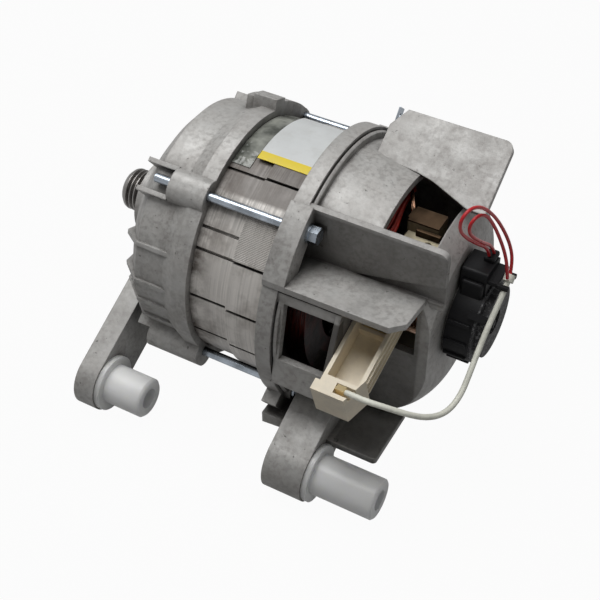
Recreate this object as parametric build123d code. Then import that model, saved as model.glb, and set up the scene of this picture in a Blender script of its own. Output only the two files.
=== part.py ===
from build123d import *
from math import atan2, cos, degrees, pi, radians, sin, tan
import os

# Washing machine motor: a brushed universal motor, lying on its two nylon bushings.
# Frame: the origin is on the motor axis, +X runs from the pulley to the tacho, +Z is up.
# Angles are in the YZ plane, counted from +Y towards +Z. Lengths are in millimetres.

# Turns
quarter_turn = 90.0
full_turn = 360.0

# Stator stack and the two shields
stack_start = -35.5
stack_end = 12.5
stack_step = -11.5
stack_radius = 60.0
stack_radius_drive = 58.3
stack_bore = 30.4
yoke_inner = 43.5
shield_wall = 3.5
overrun = 1.0
seat_gap = 0.15
touch = 0.3
stack_groove_angles = (111.0, 149.0, 172.0, -166.0)
stack_short_groove_angle = 139.0
stack_groove_width = 1.4
stack_groove_depth = 1.5

# Drive end shield, which carries the pulley side bearing
drive_ring_start = -31.0
drive_ring_end = -38.5
drive_ring_radius = 62.0
drive_bell_radius = 58.4
drive_slope_end = -46.0
drive_bell_corner = -60.5
drive_face_radius = 43.0
drive_face = -72.0
drive_hub_root = -76.5
drive_hub_radius = 19.6
drive_hub_end = -88.0

# Rear end shield, which carries brushes, connector and tacho
rear_ring_start = 8.0
rear_ring_end = 15.6
rear_ring_radius = 67.0
rear_groove_radius = 64.6
rear_groove_width = 0.8
rear_rib_radius = 65.6
rear_bowl_start = 18.4
rear_bowl_radius = 62.0
rear_bowl_mid = 46.0
rear_bowl_mid_radius = 58.0
rear_shoulder = 66.0
rear_shoulder_radius = 52.0
rear_face = 76.6
rear_face_radius = 38.0
rear_hub_radius = 20.0
rear_hub_end = 77.4
rear_corner_radius = 69.4
rear_lug_radius = 73.5
rear_lug_angles = (-149.0, -121.0)

# Bearings and shaft
drive_bearing_bore = 12.0
drive_bearing_outer = 32.0
drive_bearing_width = 10.0
rear_bearing_bore = 10.0
rear_bearing_outer = 26.0
rear_bearing_width = 8.0
bearing_lip = 1.0
ball_count = 8
shaft_core_radius = 7.0
shaft_end = 88.6
ball_share = 0.3
race_share = 0.55

# Poly-V pulley: J section, pitch 2.34
pulley_start = -103.0
pulley_end = -89.0
pulley_pitch = 2.34
pulley_first_crest = -100.0
pulley_grooves = 4
pulley_crest_radius = 10.6
pulley_groove_depth = 2.0
pulley_crest_flat = 0.45
pulley_rim_radius = 10.2
pulley_chamfer = 1.6

# Through bolts on one circle, a quarter turn apart
bolt_circle = 62.0
bolt_angle = 127.0
bolt_count = 4
bolt_radius = 2.15
bolt_tip = -58.5
bolt_seat = 18.8
bolt_flange_radius = 4.4
bolt_flange_height = 1.2
bolt_hex_across = 7.0
bolt_head_height = 5.0
boss_half_width = 8.0
boss_radius = 65.6
boss_rounding = 6.6
boss_root = 54.0
boss_end = -50.0
rib_end = -66.0
rib_width = 2.2
rib_radius = 61.6
cooling_rib_angles = (157.0, 176.0, -172.0, -160.0)
cooling_rib_root = 40.0
cooling_rib_height = 1.2
cooling_rib_nose = -71.0
cooling_rib_nose_radius = 50.4
foot_end = -59.0
foot_radius = 69.4
ear_end = -47.0
ear_radius = 65.4
ear_angles = (27.0, 69.0)
ear_pad_radius = 67.2
ear_pad_angles = (63.0, 70.0)
ear_pad_end = -43.0
vent_count = 6
vent_angle = 34.0
vent_inner = 25.0
vent_outer = 37.5

# Mounting arms and nylon bushings
bushing_y = -73.3
bushing_z = -58.2
bushing_radius = 9.94
bushing_bore = 5.0
bushing_flange_radius = 14.0
bushing_flange_height = 2.6
arm_radius = 14.8
arm_slope = 25.0
drive_arm_start = -83.0
drive_arm_end = -72.0
drive_arm_reach = 62.0
drive_bushing_length = 22.8
rear_arm_start = 22.0
rear_arm_end = 42.0
rear_arm_reach = 45.0
rear_bushing_length = 33.2
bushing_spigot_radius = 8.0
bushing_screw_radius = 3.0

# Armature, commutator and fan
air_gap = 0.8
armature_slots = 24
slot_width = 2.4
slot_depth = 9.0
coil_bar_width = 1.9
winding_start = -47.0
winding_end = 30.0
winding_outer = 27.0
winding_inner = 12.0
commutator_start = 40.0
commutator_end = 64.0
commutator_radius = 18.0
commutator_riser_radius = 19.4
commutator_riser_width = 4.0
commutator_groove = 0.7
commutator_groove_depth = 0.8
fan_radius = 46.0
fan_hub_radius = 12.0
fan_start = -60.5
fan_end = -50.5
fan_plate = 1.6
fan_blades = 12
fan_blade_width = 1.6

# Field coils
coil_inner = 33.6
coil_outer = 40.6
coil_crown = 50.0
coil_overhang = 11.0
coil_half_angle = 60.0
coil_neck_angle = 38.0
coil_crown_angle = 32.0
neck_margin_angle = 1.0
liner_wall = 0.6

# Brush gear
brush_centre = 57.0
brush_length = 19.0
brush_thickness = 6.4
brush_width = 11.0
brush_gap = 0.2
brush_contact_gap = 0.1
holder_wall = 1.6
holder_start = 20.6
holder_end = 45.0
holder_foot_half = 11.0
holder_foot_end = 31.0
spring_clearance = 0.35
clip_wall = 0.8

# Tacho at the rear end
tacho_radius = 21.0
tacho_wall = 1.7
tacho_end = 89.4
tacho_floor = 1.6
tacho_bore = 10.4
tacho_magnet_radius = 9.4
tacho_magnet_length = 7.4
tacho_coil_inner = 11.6
tacho_disc_radius = 17.3
tacho_disc_end = 93.4
tacho_cap_width = 15.0
tacho_cap_height = 11.0
tacho_clip_angle = 137.0
tacho_clip_end = 98.0

# Fins of the rear shield
fin_thickness = 3.2
wall_y = -32.8
wall_top = 59.2
wall_end = 80.0
shelf_out = -59.3
shelf_in_height = 31.4
shelf_out_height = 36.0
shelf_end = 72.6
shelf_corner_end = 66.6
shelf_corner_y = -53.0
shelf_rounding = 4.0
recess_start = 36.0
recess_height = 10.0
recess_depth = 1.6
lower_plate_top = -46.6
lower_plate_out = -62.5
lower_plate_in = -31.0
lower_plate_end = 67.0
lower_flange_end = 41.0
lower_flange_height = 3.4
wing_slope = 33.4
wing_normal_distance = 39.0
wing_start = 24.2
wing_front = 29.7
wing_back = 80.4
wing_outer = 68.4
wing_rounding = 4.5
wing_window_start = 53.2
wing_window_end = 71.6
wing_root = 45.0
wing_root_mid = 42.0
wing_window_high = 40.6
wing_window_low = 33.8

# Openings of the rear shield
brush_window_start = 46.5
brush_window_end = 68.8
brush_window_angle = 48.0
frame_top_y = -58.6
frame_foot_y = -67.6
frame_foot = -16.0
frame_back = -34.0
frame_groove = 0.9
frame_groove_depth = 1.4
front_window_start = 18.8
front_window_end = 43.2
front_window_top = 26.6
front_window_bottom = -2.6
jamb_end = 45.7
jamb_out = -69.8
jamb_low = -8.0
bay_wall_y = -35.5
bay_end = 70.0
bay_bottom = -1.0

# Connector
tray_start = 46.0
tray_width = 17.8
tray_tilt = 17.0
tray_wall = 1.8
tray_inner = 50.0
tray_mid_y = -76.4
tray_mid_z = 11.4
tray_height = 12.4
tray_rib_count = 3
tray_rib_height = 0.7
tray_divider = 30.0
plug_front = -6.2
plug_back = 6.0
plug_start = 43.9
plug_width = 15.5
plug_height = 19.8
plug_lip = -1.0
terminal_width = 6.3
terminal_thickness = 0.8
terminal_length = 13.0
terminal_count = 2
terminal_seat = 33.0

# Label, film and earth tab
label_start = -20.3
label_end = 6.2
label_first_angle = 60.0
label_last_angle = 103.0
label_thickness = 0.25
film_end = -21.5
film_first_angle = 50.0
film_last_angle = 108.0
earth_tab_angle = 48.0
earth_tab_width = 6.3
earth_tab_thickness = 0.8
earth_tab_top = 78.0

# Leads
lead_radius = 1.1
red_lead_radius = 0.75
white_route = [(58.4, -78.2, 10.6), (64.0, -78.8, 11.1), (70.0, -78.9, 11.4), (77.2, -77.3, 10.4),
               (84.4, -73.6, 6.8), (90.0, -67.6, 1.6), (94.0, -60.6, -2.0), (96.2, -53.0, -3.4),
               (97.2, -45.0, -1.2), (97.0, -37.6, 3.6), (96.6, -30.4, 7.8), (96.4, -23.4, 12.2),
               (96.6, -16.5, 17.6), (97.0, -9.0, 23.4), (97.0, -2.5, 28.4)]
red_route_outer = [(85.6, 3.2, 32.0), (85.4, 2.0, 39.0), (83.6, -12.0, 52.0), (82.2, -23.5, 64.0),
                   (81.6, -28.6, 71.6), (82.0, -28.6, 77.6), (83.8, -23.4, 79.8), (86.0, -16.0, 75.6),
                   (88.8, -7.6, 65.6), (91.8, -1.4, 54.2), (94.6, 1.6, 44.6), (96.6, 1.2, 37.2),
                   (97.0, -0.6, 31.6)]
red_route_inner = [(86.8, 6.0, 32.0), (86.6, 4.6, 38.5), (85.0, -8.5, 50.5), (83.8, -17.4, 59.6),
                   (83.4, -21.8, 65.8), (83.8, -22.6, 70.8), (85.4, -18.8, 73.2), (87.4, -13.6, 70.0),
                   (89.6, -9.2, 62.0), (92.2, -6.2, 53.0), (94.8, -4.8, 44.8), (96.6, -4.8, 37.6),
                   (97.0, -3.9, 31.6)]
crimp_size = 3.0
crimp_length = 4.4
collar_radius = 2.4
collar_length = 3.2


def rod(radius, start, end, y=0, z=0):
    """A round bar along X."""
    return Pos((start + end) / 2, y, z) * Rot(0, quarter_turn, 0) * Cylinder(radius, abs(end - start))


def tube(radius, bore, start, end, y=0, z=0):
    """A round tube along X."""
    return rod(radius, start, end, y, z) - rod(bore, start - overrun, end + overrun, y, z)


def block(x0, x1, y0, y1, z0, z1):
    """A box between two corners."""
    return Pos((x0 + x1) / 2, (y0 + y1) / 2, (z0 + z1) / 2) * Box(abs(x1 - x0), abs(y1 - y0), abs(z1 - z0))


def turned(outline):
    """A solid turned about the motor axis from (x, radius) points."""
    face = make_face(Polyline(*[(x, r) for x, r in outline], close=True))
    return revolve(face, axis=Axis.X, revolution_arc=full_turn)


def sector(inner, outer, first, last, start, end):
    """A slice of a ring between two angles."""
    middle = radians((first + last) / 2)
    half = radians((last - first) / 2)
    points = [(r * cos(middle + a), r * sin(middle + a)) for r, a in
              ((inner, -half), (outer, -half), (outer, 0), (outer, half), (inner, half), (inner, 0))]
    with BuildSketch(Plane.YZ.offset(start)) as outline:
        with BuildLine():
            Line(points[0], points[1])
            ThreePointArc(points[1], points[2], points[3])
            Line(points[3], points[4])
            ThreePointArc(points[4], points[5], points[0])
        make_face()
    return extrude(outline.sketch, amount=end - start)


def around(angle, shape):
    """The shape, drawn at +Y, turned to an angle about the motor axis."""
    return Rot(angle, 0, 0) * shape


def save(name, shape):
    """Write one node as a STEP file."""
    shape.label = name
    export_step(shape, "parts/" + name + ".step")


def arm(start, end, reach):
    """A flat arm with a round end about the bushing, which runs up to the shield."""
    with BuildSketch(Plane.YZ.offset(start)) as outline:
        with Locations(Location((bushing_y, bushing_z), arm_slope)):
            Circle(arm_radius)
            with Locations((reach / 2, 0)):
                Rectangle(reach, 2 * arm_radius)
    return extrude(outline.sketch, amount=end - start)


def bushing(start, length, name):
    """A flanged nylon bushing with its moulded spigot in the arm."""
    flange_end = start + bushing_flange_height
    body = rod(bushing_radius, start, start + length, bushing_y, bushing_z)
    body = chamfer(body.edges().filter_by(GeomType.CIRCLE).sort_by(Axis.X)[-1], bushing_flange_height / 3)
    body += rod(bushing_flange_radius, start, flange_end, bushing_y, bushing_z)
    body += rod(bushing_spigot_radius, start - bushing_flange_height, start + overrun, bushing_y, bushing_z)
    end = start + length + overrun
    body -= rod(bushing_bore, start + length - 2 * bushing_bore, end, bushing_y, bushing_z)
    body -= rod(bushing_screw_radius, start - length, end, bushing_y, bushing_z)
    save(name, body)


def route_radii(points):
    """Arc radii for a cord: 0.45 of the shorter run over the tangent of half the turn."""
    run_share = 0.45
    radii = []
    for before, here, after in zip(points, points[1:], points[2:]):
        first = Vector(*here) - Vector(*before)
        second = Vector(*after) - Vector(*here)
        turn = first.get_angle(second)
        radii.append(run_share * min(first.length, second.length) / tan(radians(turn / 2)))
    return radii


def cord(name, points, radius):
    """A round lead along straight runs with tangent arcs."""
    radii = route_radii(points)
    path = FilletPolyline(*points, radius=radii)
    start = Plane(origin=points[0], z_dir=(Vector(*points[1]) - Vector(*points[0])))
    shape = sweep(start * Circle(radius), path=path)
    length = path.length
    section = pi * radius ** 2
    print(name, "length", round(length, 1), "volume over section", round(shape.volume / section, 1))
    print(name, "radii", [round(r, 1) for r in radii])
    save(name, shape)


# Shields
bolt_angles = [bolt_angle + full_turn / bolt_count * i for i in range(bolt_count)]
drive_seat_radius = drive_bearing_outer / 2
drive_seat_start = drive_hub_end + bearing_lip
drive_seat_end = drive_seat_start + drive_bearing_width
drive_cavity = [(drive_seat_end, 0), (drive_seat_end, drive_seat_radius + shield_wall),
                (drive_face + shield_wall, drive_face_radius - shield_wall / 2),
                (drive_bell_corner + shield_wall / 2, drive_bell_radius - shield_wall),
                (stack_start, drive_bell_radius - shield_wall),
                (stack_start, stack_radius_drive + seat_gap),
                (drive_ring_start + overrun, stack_radius_drive + seat_gap),
                (drive_ring_start + overrun, 0)]
drive_outline = [(drive_ring_start, 0), (drive_ring_start, drive_ring_radius),
                 (drive_ring_end, drive_ring_radius), (drive_slope_end, drive_bell_radius),
                 (drive_bell_corner, drive_bell_radius),
                 ((drive_bell_corner + drive_face) / 2,
                  (drive_bell_radius + drive_face_radius) / 2 + overrun),
                 (drive_face, drive_face_radius), (drive_hub_root, drive_hub_radius + shield_wall),
                 (drive_hub_root - shield_wall / 2, drive_hub_radius), (drive_hub_end, drive_hub_radius),
                 (drive_hub_end, 0)]


def bolt_boss(start, end, outer):
    """A cast boss over one through bolt, drawn at +Y."""
    boss = block(start, end, boss_root, outer, -boss_half_width, boss_half_width)
    edges = boss.edges().filter_by(Axis.X).sort_by(Axis.Y)[-2:]
    return fillet(edges, boss_rounding)


def cooling_rib():
    """A low rib over the bell and its corner, drawn at +Y."""
    top = drive_bell_radius + cooling_rib_height
    with BuildSketch(Plane.XY.offset(-rib_width / 2)) as outline:
        with BuildLine():
            Polyline((drive_ring_end, cooling_rib_root), (drive_ring_end, top), (drive_bell_corner, top),
                     (cooling_rib_nose, cooling_rib_nose_radius), (cooling_rib_nose, cooling_rib_root),
                     close=True)
        make_face()
    return extrude(outline.sketch, amount=rib_width)


def drive_end_shield():
    """The casting on the pulley side: bell, bearing hub, bolt bosses, ribs and arm."""
    shape = turned(drive_outline)
    for angle in bolt_angles:
        shape += around(angle, bolt_boss(boss_end, drive_ring_start, boss_radius))
        for side in (-1, 1):
            z = side * (boss_half_width - rib_width / 2)
            shape += around(angle, block(rib_end, boss_end, boss_root - shield_wall, rib_radius,
                                         z - rib_width / 2, z + rib_width / 2))
    shape += around(bolt_angles[1], bolt_boss(foot_end, drive_ring_start, foot_radius))
    shape += sector(boss_root, ear_radius, ear_angles[0], ear_angles[1], ear_end, drive_ring_start)
    shape += sector(boss_root, ear_pad_radius, ear_pad_angles[0], ear_pad_angles[1], ear_pad_end,
                    drive_ring_start)
    for angle in cooling_rib_angles:
        shape += around(angle, cooling_rib())
    shape += arm(drive_arm_start, drive_arm_end, drive_arm_reach)
    shape -= turned(drive_cavity)
    for i in range(vent_count):
        middle = full_turn / vent_count * i
        shape -= sector(vent_inner, vent_outer, middle - vent_angle / 2, middle + vent_angle / 2,
                        drive_hub_end, drive_face + 2 * shield_wall)
    shape -= rod(shaft_radius_drive + overrun, drive_hub_end - overrun, drive_seat_end)
    shape -= rod(drive_seat_radius, drive_seat_start, drive_seat_end + overrun)
    for angle in bolt_angles:
        shape -= around(angle, rod(bolt_radius + seat_gap, bolt_tip - touch, stack_end, bolt_circle))
    shape -= rod(bushing_spigot_radius + seat_gap, drive_arm_end - bushing_flange_height - seat_gap,
                 drive_arm_end + overrun, bushing_y, bushing_z)
    shape -= rod(bushing_screw_radius, drive_arm_start - overrun, drive_arm_end + overrun, bushing_y,
                 bushing_z)
    save("drive_end_shield", shape)


shaft_radius_drive = drive_bearing_bore / 2
shaft_radius_rear = rear_bearing_bore / 2
rear_seat_radius = rear_bearing_outer / 2
rear_seat_end = rear_hub_end - bearing_lip
rear_seat_start = rear_seat_end - rear_bearing_width
rear_wall_in = rear_face - shield_wall
wing_direction = (cos(radians(wing_slope)), sin(radians(wing_slope)))


def bowl(inset):
    """The rear bowl as a solid of revolution, with its round shoulder, set in by a wall."""
    end = rear_face - inset
    with BuildSketch(Plane.XY) as outline:
        with BuildLine():
            Polyline((end, rear_face_radius - inset), (end, 0), (rear_ring_end, 0),
                     (rear_ring_end, rear_bowl_radius - inset),
                     (rear_bowl_start, rear_bowl_radius - inset),
                     (rear_bowl_mid, rear_bowl_mid_radius - inset))
            ThreePointArc((rear_bowl_mid, rear_bowl_mid_radius - inset),
                          (rear_shoulder - inset / 2, rear_shoulder_radius - inset),
                          (end, rear_face_radius - inset))
        make_face()
    return revolve(outline.sketch, axis=Axis.X, revolution_arc=full_turn)


def slab(points, start, end):
    """A plate along X with a cross-section in the YZ plane."""
    with BuildSketch(Plane.YZ.offset(start)) as outline:
        with BuildLine():
            Polyline(*points, close=True)
        make_face()
    return extrude(outline.sketch, amount=end - start)


def shelf_plate():
    """The shelf over the connector, which slopes up outwards, with its cut rear corner."""
    plate = slab([(wall_y + fin_thickness, shelf_in_height), (shelf_out, shelf_out_height),
                  (shelf_out, shelf_out_height - fin_thickness),
                  (wall_y + fin_thickness, shelf_in_height - fin_thickness)], rear_ring_start, shelf_end)
    with BuildSketch(Plane.XY.offset(shelf_in_height - 2 * fin_thickness)) as corner:
        with BuildLine():
            Polyline((shelf_corner_end, shelf_out - overrun), (shelf_end, shelf_corner_y),
                     (shelf_end + overrun, shelf_corner_y), (shelf_end + overrun, shelf_out - overrun),
                     close=True)
        make_face()
    plate -= extrude(corner.sketch, amount=shelf_out_height)
    return plate


def lower_plate():
    """The plate under the connector, with a flange along the first part of its edge."""
    under = lower_plate_top - fin_thickness
    plate = slab([(lower_plate_in, lower_plate_top), (lower_plate_out, lower_plate_top),
                  (lower_plate_out, under), (lower_plate_in, under)], rear_ring_start, lower_plate_end)
    corner = plate.edges().filter_by(Axis.Z).sort_by(Axis.X)[-2:].sort_by(Axis.Y)[0]
    plate = fillet(corner, shelf_rounding / 2)
    with BuildSketch(Plane.XZ.offset(-lower_plate_out)) as edge:
        with BuildLine():
            Polyline((rear_ring_start, lower_plate_top), (rear_ring_start, under - lower_flange_height),
                     (lower_flange_end, under), (lower_flange_end, lower_plate_top), close=True)
        make_face()
    return plate + extrude(edge.sketch, amount=-fin_thickness)


def wing_plate():
    """The slanted plate behind the brush window."""
    place = Rot(wing_slope, 0, 0) * Pos(0, 0, wing_normal_distance - fin_thickness / 2)
    with BuildSketch() as outline:
        with BuildLine():
            Polyline((wing_start, wing_root), (brush_window_start, wing_root_mid),
                     (wing_window_start, wing_window_high), (wing_window_end, wing_window_low),
                     (wing_back, wing_window_low), (wing_back, wing_outer), (wing_front, wing_outer),
                     (wing_start, wing_outer - 2 * wing_rounding), close=True)
        make_face()
        corner = outline.vertices().sort_by(lambda point: point.X + point.Y)[-1]
        fillet(corner, wing_rounding)
    return place * extrude(outline.sketch, amount=fin_thickness)


def front_frame():
    """The leaning frame with the front window, and its side wall beside the connector."""
    outer = [(frame_top_y, shelf_in_height), (frame_foot_y, frame_foot), (frame_back, lower_plate_top),
             (-rear_hub_radius, lower_plate_top), (-rear_hub_radius, shelf_in_height)]
    solid = slab(outer, rear_ring_end, jamb_end)
    solid += slab([(frame_top_y, shelf_in_height), (jamb_out, tray_mid_z - tray_height / 2),
                   (jamb_out, jamb_low), (frame_foot_y, frame_foot), (frame_back, frame_foot),
                   (frame_back, shelf_in_height)], front_window_end, jamb_end)
    wall = shield_wall
    ceiling = shelf_in_height - fin_thickness
    floor = lower_plate_top + 2 * wall
    hollow = slab([(frame_top_y + wall, ceiling), (frame_foot_y + wall, frame_foot + wall),
                   (frame_back, floor), (-rear_hub_radius, floor), (-rear_hub_radius, ceiling)],
                  stack_end, front_window_end)
    window = block(front_window_start, front_window_end, jamb_out - overrun, frame_back,
                   front_window_bottom, front_window_top)
    groove = slab([(frame_top_y - overrun, front_window_top), (frame_foot_y - overrun, frame_foot),
                   (frame_foot_y + frame_groove_depth, frame_foot),
                   (frame_top_y + frame_groove_depth, front_window_top)],
                  rear_ring_end, rear_ring_end + frame_groove)
    return solid, hollow, window + groove


def rear_end_shield():
    """The casting on the tacho side: ring, bowl, fins, windows, bearing hub and arm."""
    shape = bowl(0) + turned([(rear_ring_start, 0), (rear_ring_start, rear_ring_radius),
                              (rear_ring_end, rear_ring_radius), (rear_ring_end, rear_groove_radius),
                              (rear_ring_end + rear_groove_width, rear_groove_radius),
                              (rear_ring_end + rear_groove_width, rear_rib_radius),
                              (rear_bowl_start - rear_groove_width, rear_rib_radius - rear_groove_width),
                              (rear_bowl_start - rear_groove_width, 0)])
    shape += rod(rear_hub_radius, rear_face - overrun, rear_hub_end)
    for angle in bolt_angles[1:]:
        shape += around(angle, bolt_boss(rear_ring_start, rear_ring_end, boss_radius + shield_wall))
        shape += around(angle, rod(bolt_flange_radius + overrun, rear_ring_end - overrun, bolt_seat,
                                   bolt_circle))
    corner_start = degrees(atan2(wall_top, wall_y))
    corner_end = degrees(atan2(shelf_out_height, shelf_out))
    shape += sector(boss_root, rear_corner_radius, corner_start, corner_end, rear_ring_start, bolt_seat)
    shape += sector(boss_root, rear_lug_radius, rear_lug_angles[0], rear_lug_angles[1], rear_ring_start,
                    rear_ring_end)
    frame, frame_hollow, frame_cuts = front_frame()
    shape += frame
    shape -= block(jamb_end, rear_hub_end + overrun, lower_plate_out, bay_wall_y, lower_plate_top,
                   shelf_in_height - fin_thickness)
    shape += lower_plate()
    shape += arm(rear_arm_start, rear_arm_end, rear_arm_reach)
    pocket_top = wall_top + shield_wall
    shape -= block(bolt_seat, rear_hub_end + overrun, wall_y, -rear_ring_radius, shelf_out_height,
                   pocket_top)
    shape -= slab([(wall_y, shelf_in_height), (wall_y, shelf_out_height), (shelf_out, shelf_out_height)],
                  bolt_seat, rear_hub_end + overrun)
    wall_foot = shelf_in_height - fin_thickness
    wall = slab([(wall_y, wall_foot), (wall_y, wall_top), (wall_y + fin_thickness, wall_top),
                 (wall_y + fin_thickness, wall_foot)], rear_ring_start, wall_end)
    wall = fillet(wall.edges().filter_by(Axis.Y).sort_by(Axis.X)[-2:].sort_by(Axis.Z)[-1], shelf_rounding)
    shape -= bowl(shield_wall)
    shape -= rod(stack_radius + seat_gap, rear_ring_start - overrun, stack_end)
    shape -= rod(rear_bowl_radius - shield_wall, stack_end, rear_ring_end + overrun)
    shape -= frame_hollow
    bay_wall = block(jamb_end, rear_face, bay_wall_y, bay_wall_y + shield_wall, lower_plate_top,
                     shelf_in_height - fin_thickness)
    shape += bay_wall & bowl(0)
    shape += wall + shelf_plate() - rod(stack_radius + seat_gap, rear_ring_start - overrun, stack_end)
    shape += tube(rear_hub_radius, rear_seat_radius, rear_seat_start, rear_wall_in + overrun)
    for turn in (quarter_turn, -quarter_turn):
        shape -= sector(rear_hub_radius + overrun, rear_ring_radius, turn - brush_window_angle / 2,
                        turn + brush_window_angle / 2, brush_window_start, brush_window_end)
    shape += wing_plate() - bowl(shield_wall)
    shape -= frame_cuts
    shape -= block(jamb_end, bay_end, bay_wall_y - overrun, -rear_hub_radius - overrun, bay_bottom,
                   shelf_in_height - fin_thickness)
    recess_top = shelf_in_height + recess_height
    with BuildSketch(Plane.XZ.offset(-wall_y)) as recess:
        with BuildLine():
            Polyline((recess_start, shelf_in_height), (wall_end + overrun, shelf_in_height),
                     (wall_end + overrun, recess_top), close=True)
        make_face()
    shape -= extrude(recess.sketch, amount=-recess_depth)
    shape -= rod(shaft_radius_rear + overrun, rear_seat_start, rear_hub_end + overrun)
    shape -= rod(rear_seat_radius, rear_seat_start - overrun, rear_seat_end)
    for angle in bolt_angles:
        shape -= around(angle, rod(bolt_radius + seat_gap, rear_ring_start - overrun, bolt_seat + overrun,
                                   bolt_circle))
        shape -= around(angle, rod(bolt_flange_radius + overrun, bolt_seat, bolt_seat + bolt_head_height
                                   + overrun, bolt_circle))
    shape -= rod(bushing_flange_radius + touch, rear_arm_end, rear_arm_end + bushing_flange_height + touch,
                 bushing_y, bushing_z)
    shape -= rod(bushing_spigot_radius + seat_gap, rear_arm_end - bushing_flange_height - seat_gap,
                 rear_arm_end + overrun, bushing_y, bushing_z)
    shape -= rod(bushing_screw_radius, rear_arm_start - overrun, rear_arm_end + overrun, bushing_y,
                 bushing_z)
    save("rear_end_shield", shape)


def stator_core():
    """The laminated stack with its two poles at +Y and -Y."""
    shape = tube(stack_radius_drive, stack_bore, stack_start, stack_step)
    shape += tube(stack_radius, stack_bore, stack_step, stack_end)
    pole_tip = coil_half_angle + touch
    start = stack_start - overrun
    end = stack_end + overrun
    for turn in (quarter_turn, -quarter_turn):
        slot = quarter_turn - coil_neck_angle + touch
        mouth = quarter_turn - pole_tip
        shape -= sector(coil_inner - liner_wall, yoke_inner, turn - slot, turn + slot, start, end)
        shape -= sector(stack_bore - overrun, coil_inner, turn - mouth, turn + mouth, start, end)
    for angle in bolt_angles:
        shape -= around(angle, rod(bolt_radius + touch, start, end, bolt_circle))
    half = stack_groove_width / 2
    floor = stack_radius_drive - stack_groove_depth
    for angle in stack_groove_angles:
        shape -= around(angle, block(drive_ring_start, rear_ring_start, floor, rear_ring_radius,
                                     -half, half))
    shape -= around(stack_short_groove_angle, block(drive_ring_start, stack_step, floor, rear_ring_radius,
                                                    -half, half))
    save("stator_core", shape)


def field_coil(name, turn):
    """One varnished field coil, a saddle round the pole at the given angle."""
    first = stack_start - coil_overhang
    last = stack_end + coil_overhang
    gap = liner_wall + touch
    shape = sector(coil_inner, coil_outer, turn - coil_half_angle, turn + coil_half_angle, first, last)
    for start, end in ((first, stack_start - gap - touch), (stack_end + gap + touch, last)):
        shape += sector(coil_outer - overrun, coil_crown, turn - coil_crown_angle, turn + coil_crown_angle,
                        start, end)
    neck = coil_neck_angle + neck_margin_angle
    shape -= sector(coil_inner - overrun, coil_crown + overrun, turn - neck, turn + neck,
                    stack_start - gap, stack_end + gap)
    save(name, shape)


def coil_liners():
    """Insulating end frames between each coil head and the stack."""
    frames = []
    for turn in (0, full_turn / 2):
        for start, end in ((stack_start - touch - liner_wall, stack_start - touch / 2),
                           (stack_end + touch / 2, stack_end + touch + liner_wall)):
            frames.append(sector(coil_inner + touch, coil_outer, turn - coil_neck_angle,
                                 turn + coil_neck_angle, start, end))
    save("coil_liners", Compound(children=frames))


def through_bolts():
    """Four long bolts that clamp both shields on the stack."""
    head = rod(bolt_flange_radius, bolt_seat, bolt_seat + bolt_flange_height, bolt_circle)
    with BuildSketch(Plane.YZ.offset(bolt_seat + bolt_flange_height)) as outline:
        with Locations((bolt_circle, 0)):
            RegularPolygon(bolt_hex_across / 2, 6, major_radius=False)
    head += extrude(outline.sketch, amount=bolt_head_height - bolt_flange_height)
    bolt = rod(bolt_radius, bolt_tip, bolt_seat + bolt_flange_height / 2, bolt_circle) + head
    save("through_bolts", Compound(children=[around(angle, bolt) for angle in bolt_angles]))


def bearing(side, start, bore, outer, width):
    """A ball bearing as outer ring, inner ring and balls."""
    wall = (outer - bore) / 2
    ball = wall * ball_share
    middle = (outer + bore) / 4
    end = start + width
    groove = Pos((start + end) / 2, 0, 0) * Rot(0, quarter_turn, 0) * Torus(middle, ball + seat_gap)
    outer_ring = tube(outer / 2, middle + ball * race_share, start, end) - groove
    inner_ring = tube(middle - ball * race_share, bore / 2, start, end) - groove
    balls = [around(full_turn / ball_count * i, Pos((start + end) / 2, middle, 0) * Sphere(ball))
             for i in range(ball_count)]
    save(side + "_bearing_outer_ring", outer_ring)
    save(side + "_bearing_inner_ring", inner_ring)
    save(side + "_bearing_balls", Compound(children=balls))


def rotor_shaft():
    """The stepped steel shaft."""
    shape = rod(shaft_radius_drive, pulley_start + pulley_chamfer, fan_start)
    shape += rod(shaft_core_radius, drive_seat_end + touch, rear_seat_start - touch)
    shape += rod(shaft_radius_rear, commutator_end, shaft_end)
    save("rotor_shaft", shape)


def poly_v_pulley():
    """The ribbed pulley pressed on the shaft."""
    root = pulley_crest_radius - pulley_groove_depth
    flat = pulley_crest_flat / 2
    points = [(pulley_start, 0), (pulley_start, pulley_rim_radius - pulley_chamfer),
              (pulley_start + pulley_chamfer, pulley_rim_radius),
              (pulley_first_crest - flat, pulley_crest_radius)]
    for i in range(pulley_grooves):
        crest = pulley_first_crest + pulley_pitch * i
        points += [(crest + flat, pulley_crest_radius), (crest + pulley_pitch / 2 - flat, root),
                   (crest + pulley_pitch / 2 + flat, root),
                   (crest + pulley_pitch - flat, pulley_crest_radius)]
    points += [(pulley_end, pulley_crest_radius), (pulley_end, 0)]
    shape = turned(points) - rod(shaft_radius_drive, pulley_start - overrun, pulley_end + overrun)
    save("poly_v_pulley", shape)


def armature_core():
    """The slotted armature stack."""
    radius = stack_bore - air_gap
    shape = tube(radius, shaft_core_radius, stack_start, stack_end)
    for i in range(armature_slots):
        shape -= around(full_turn / armature_slots * i, block(stack_start - overrun, stack_end + overrun,
                                                        radius - slot_depth, radius + overrun,
                                                        -slot_width / 2, slot_width / 2))
    save("armature_core", shape)


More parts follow.
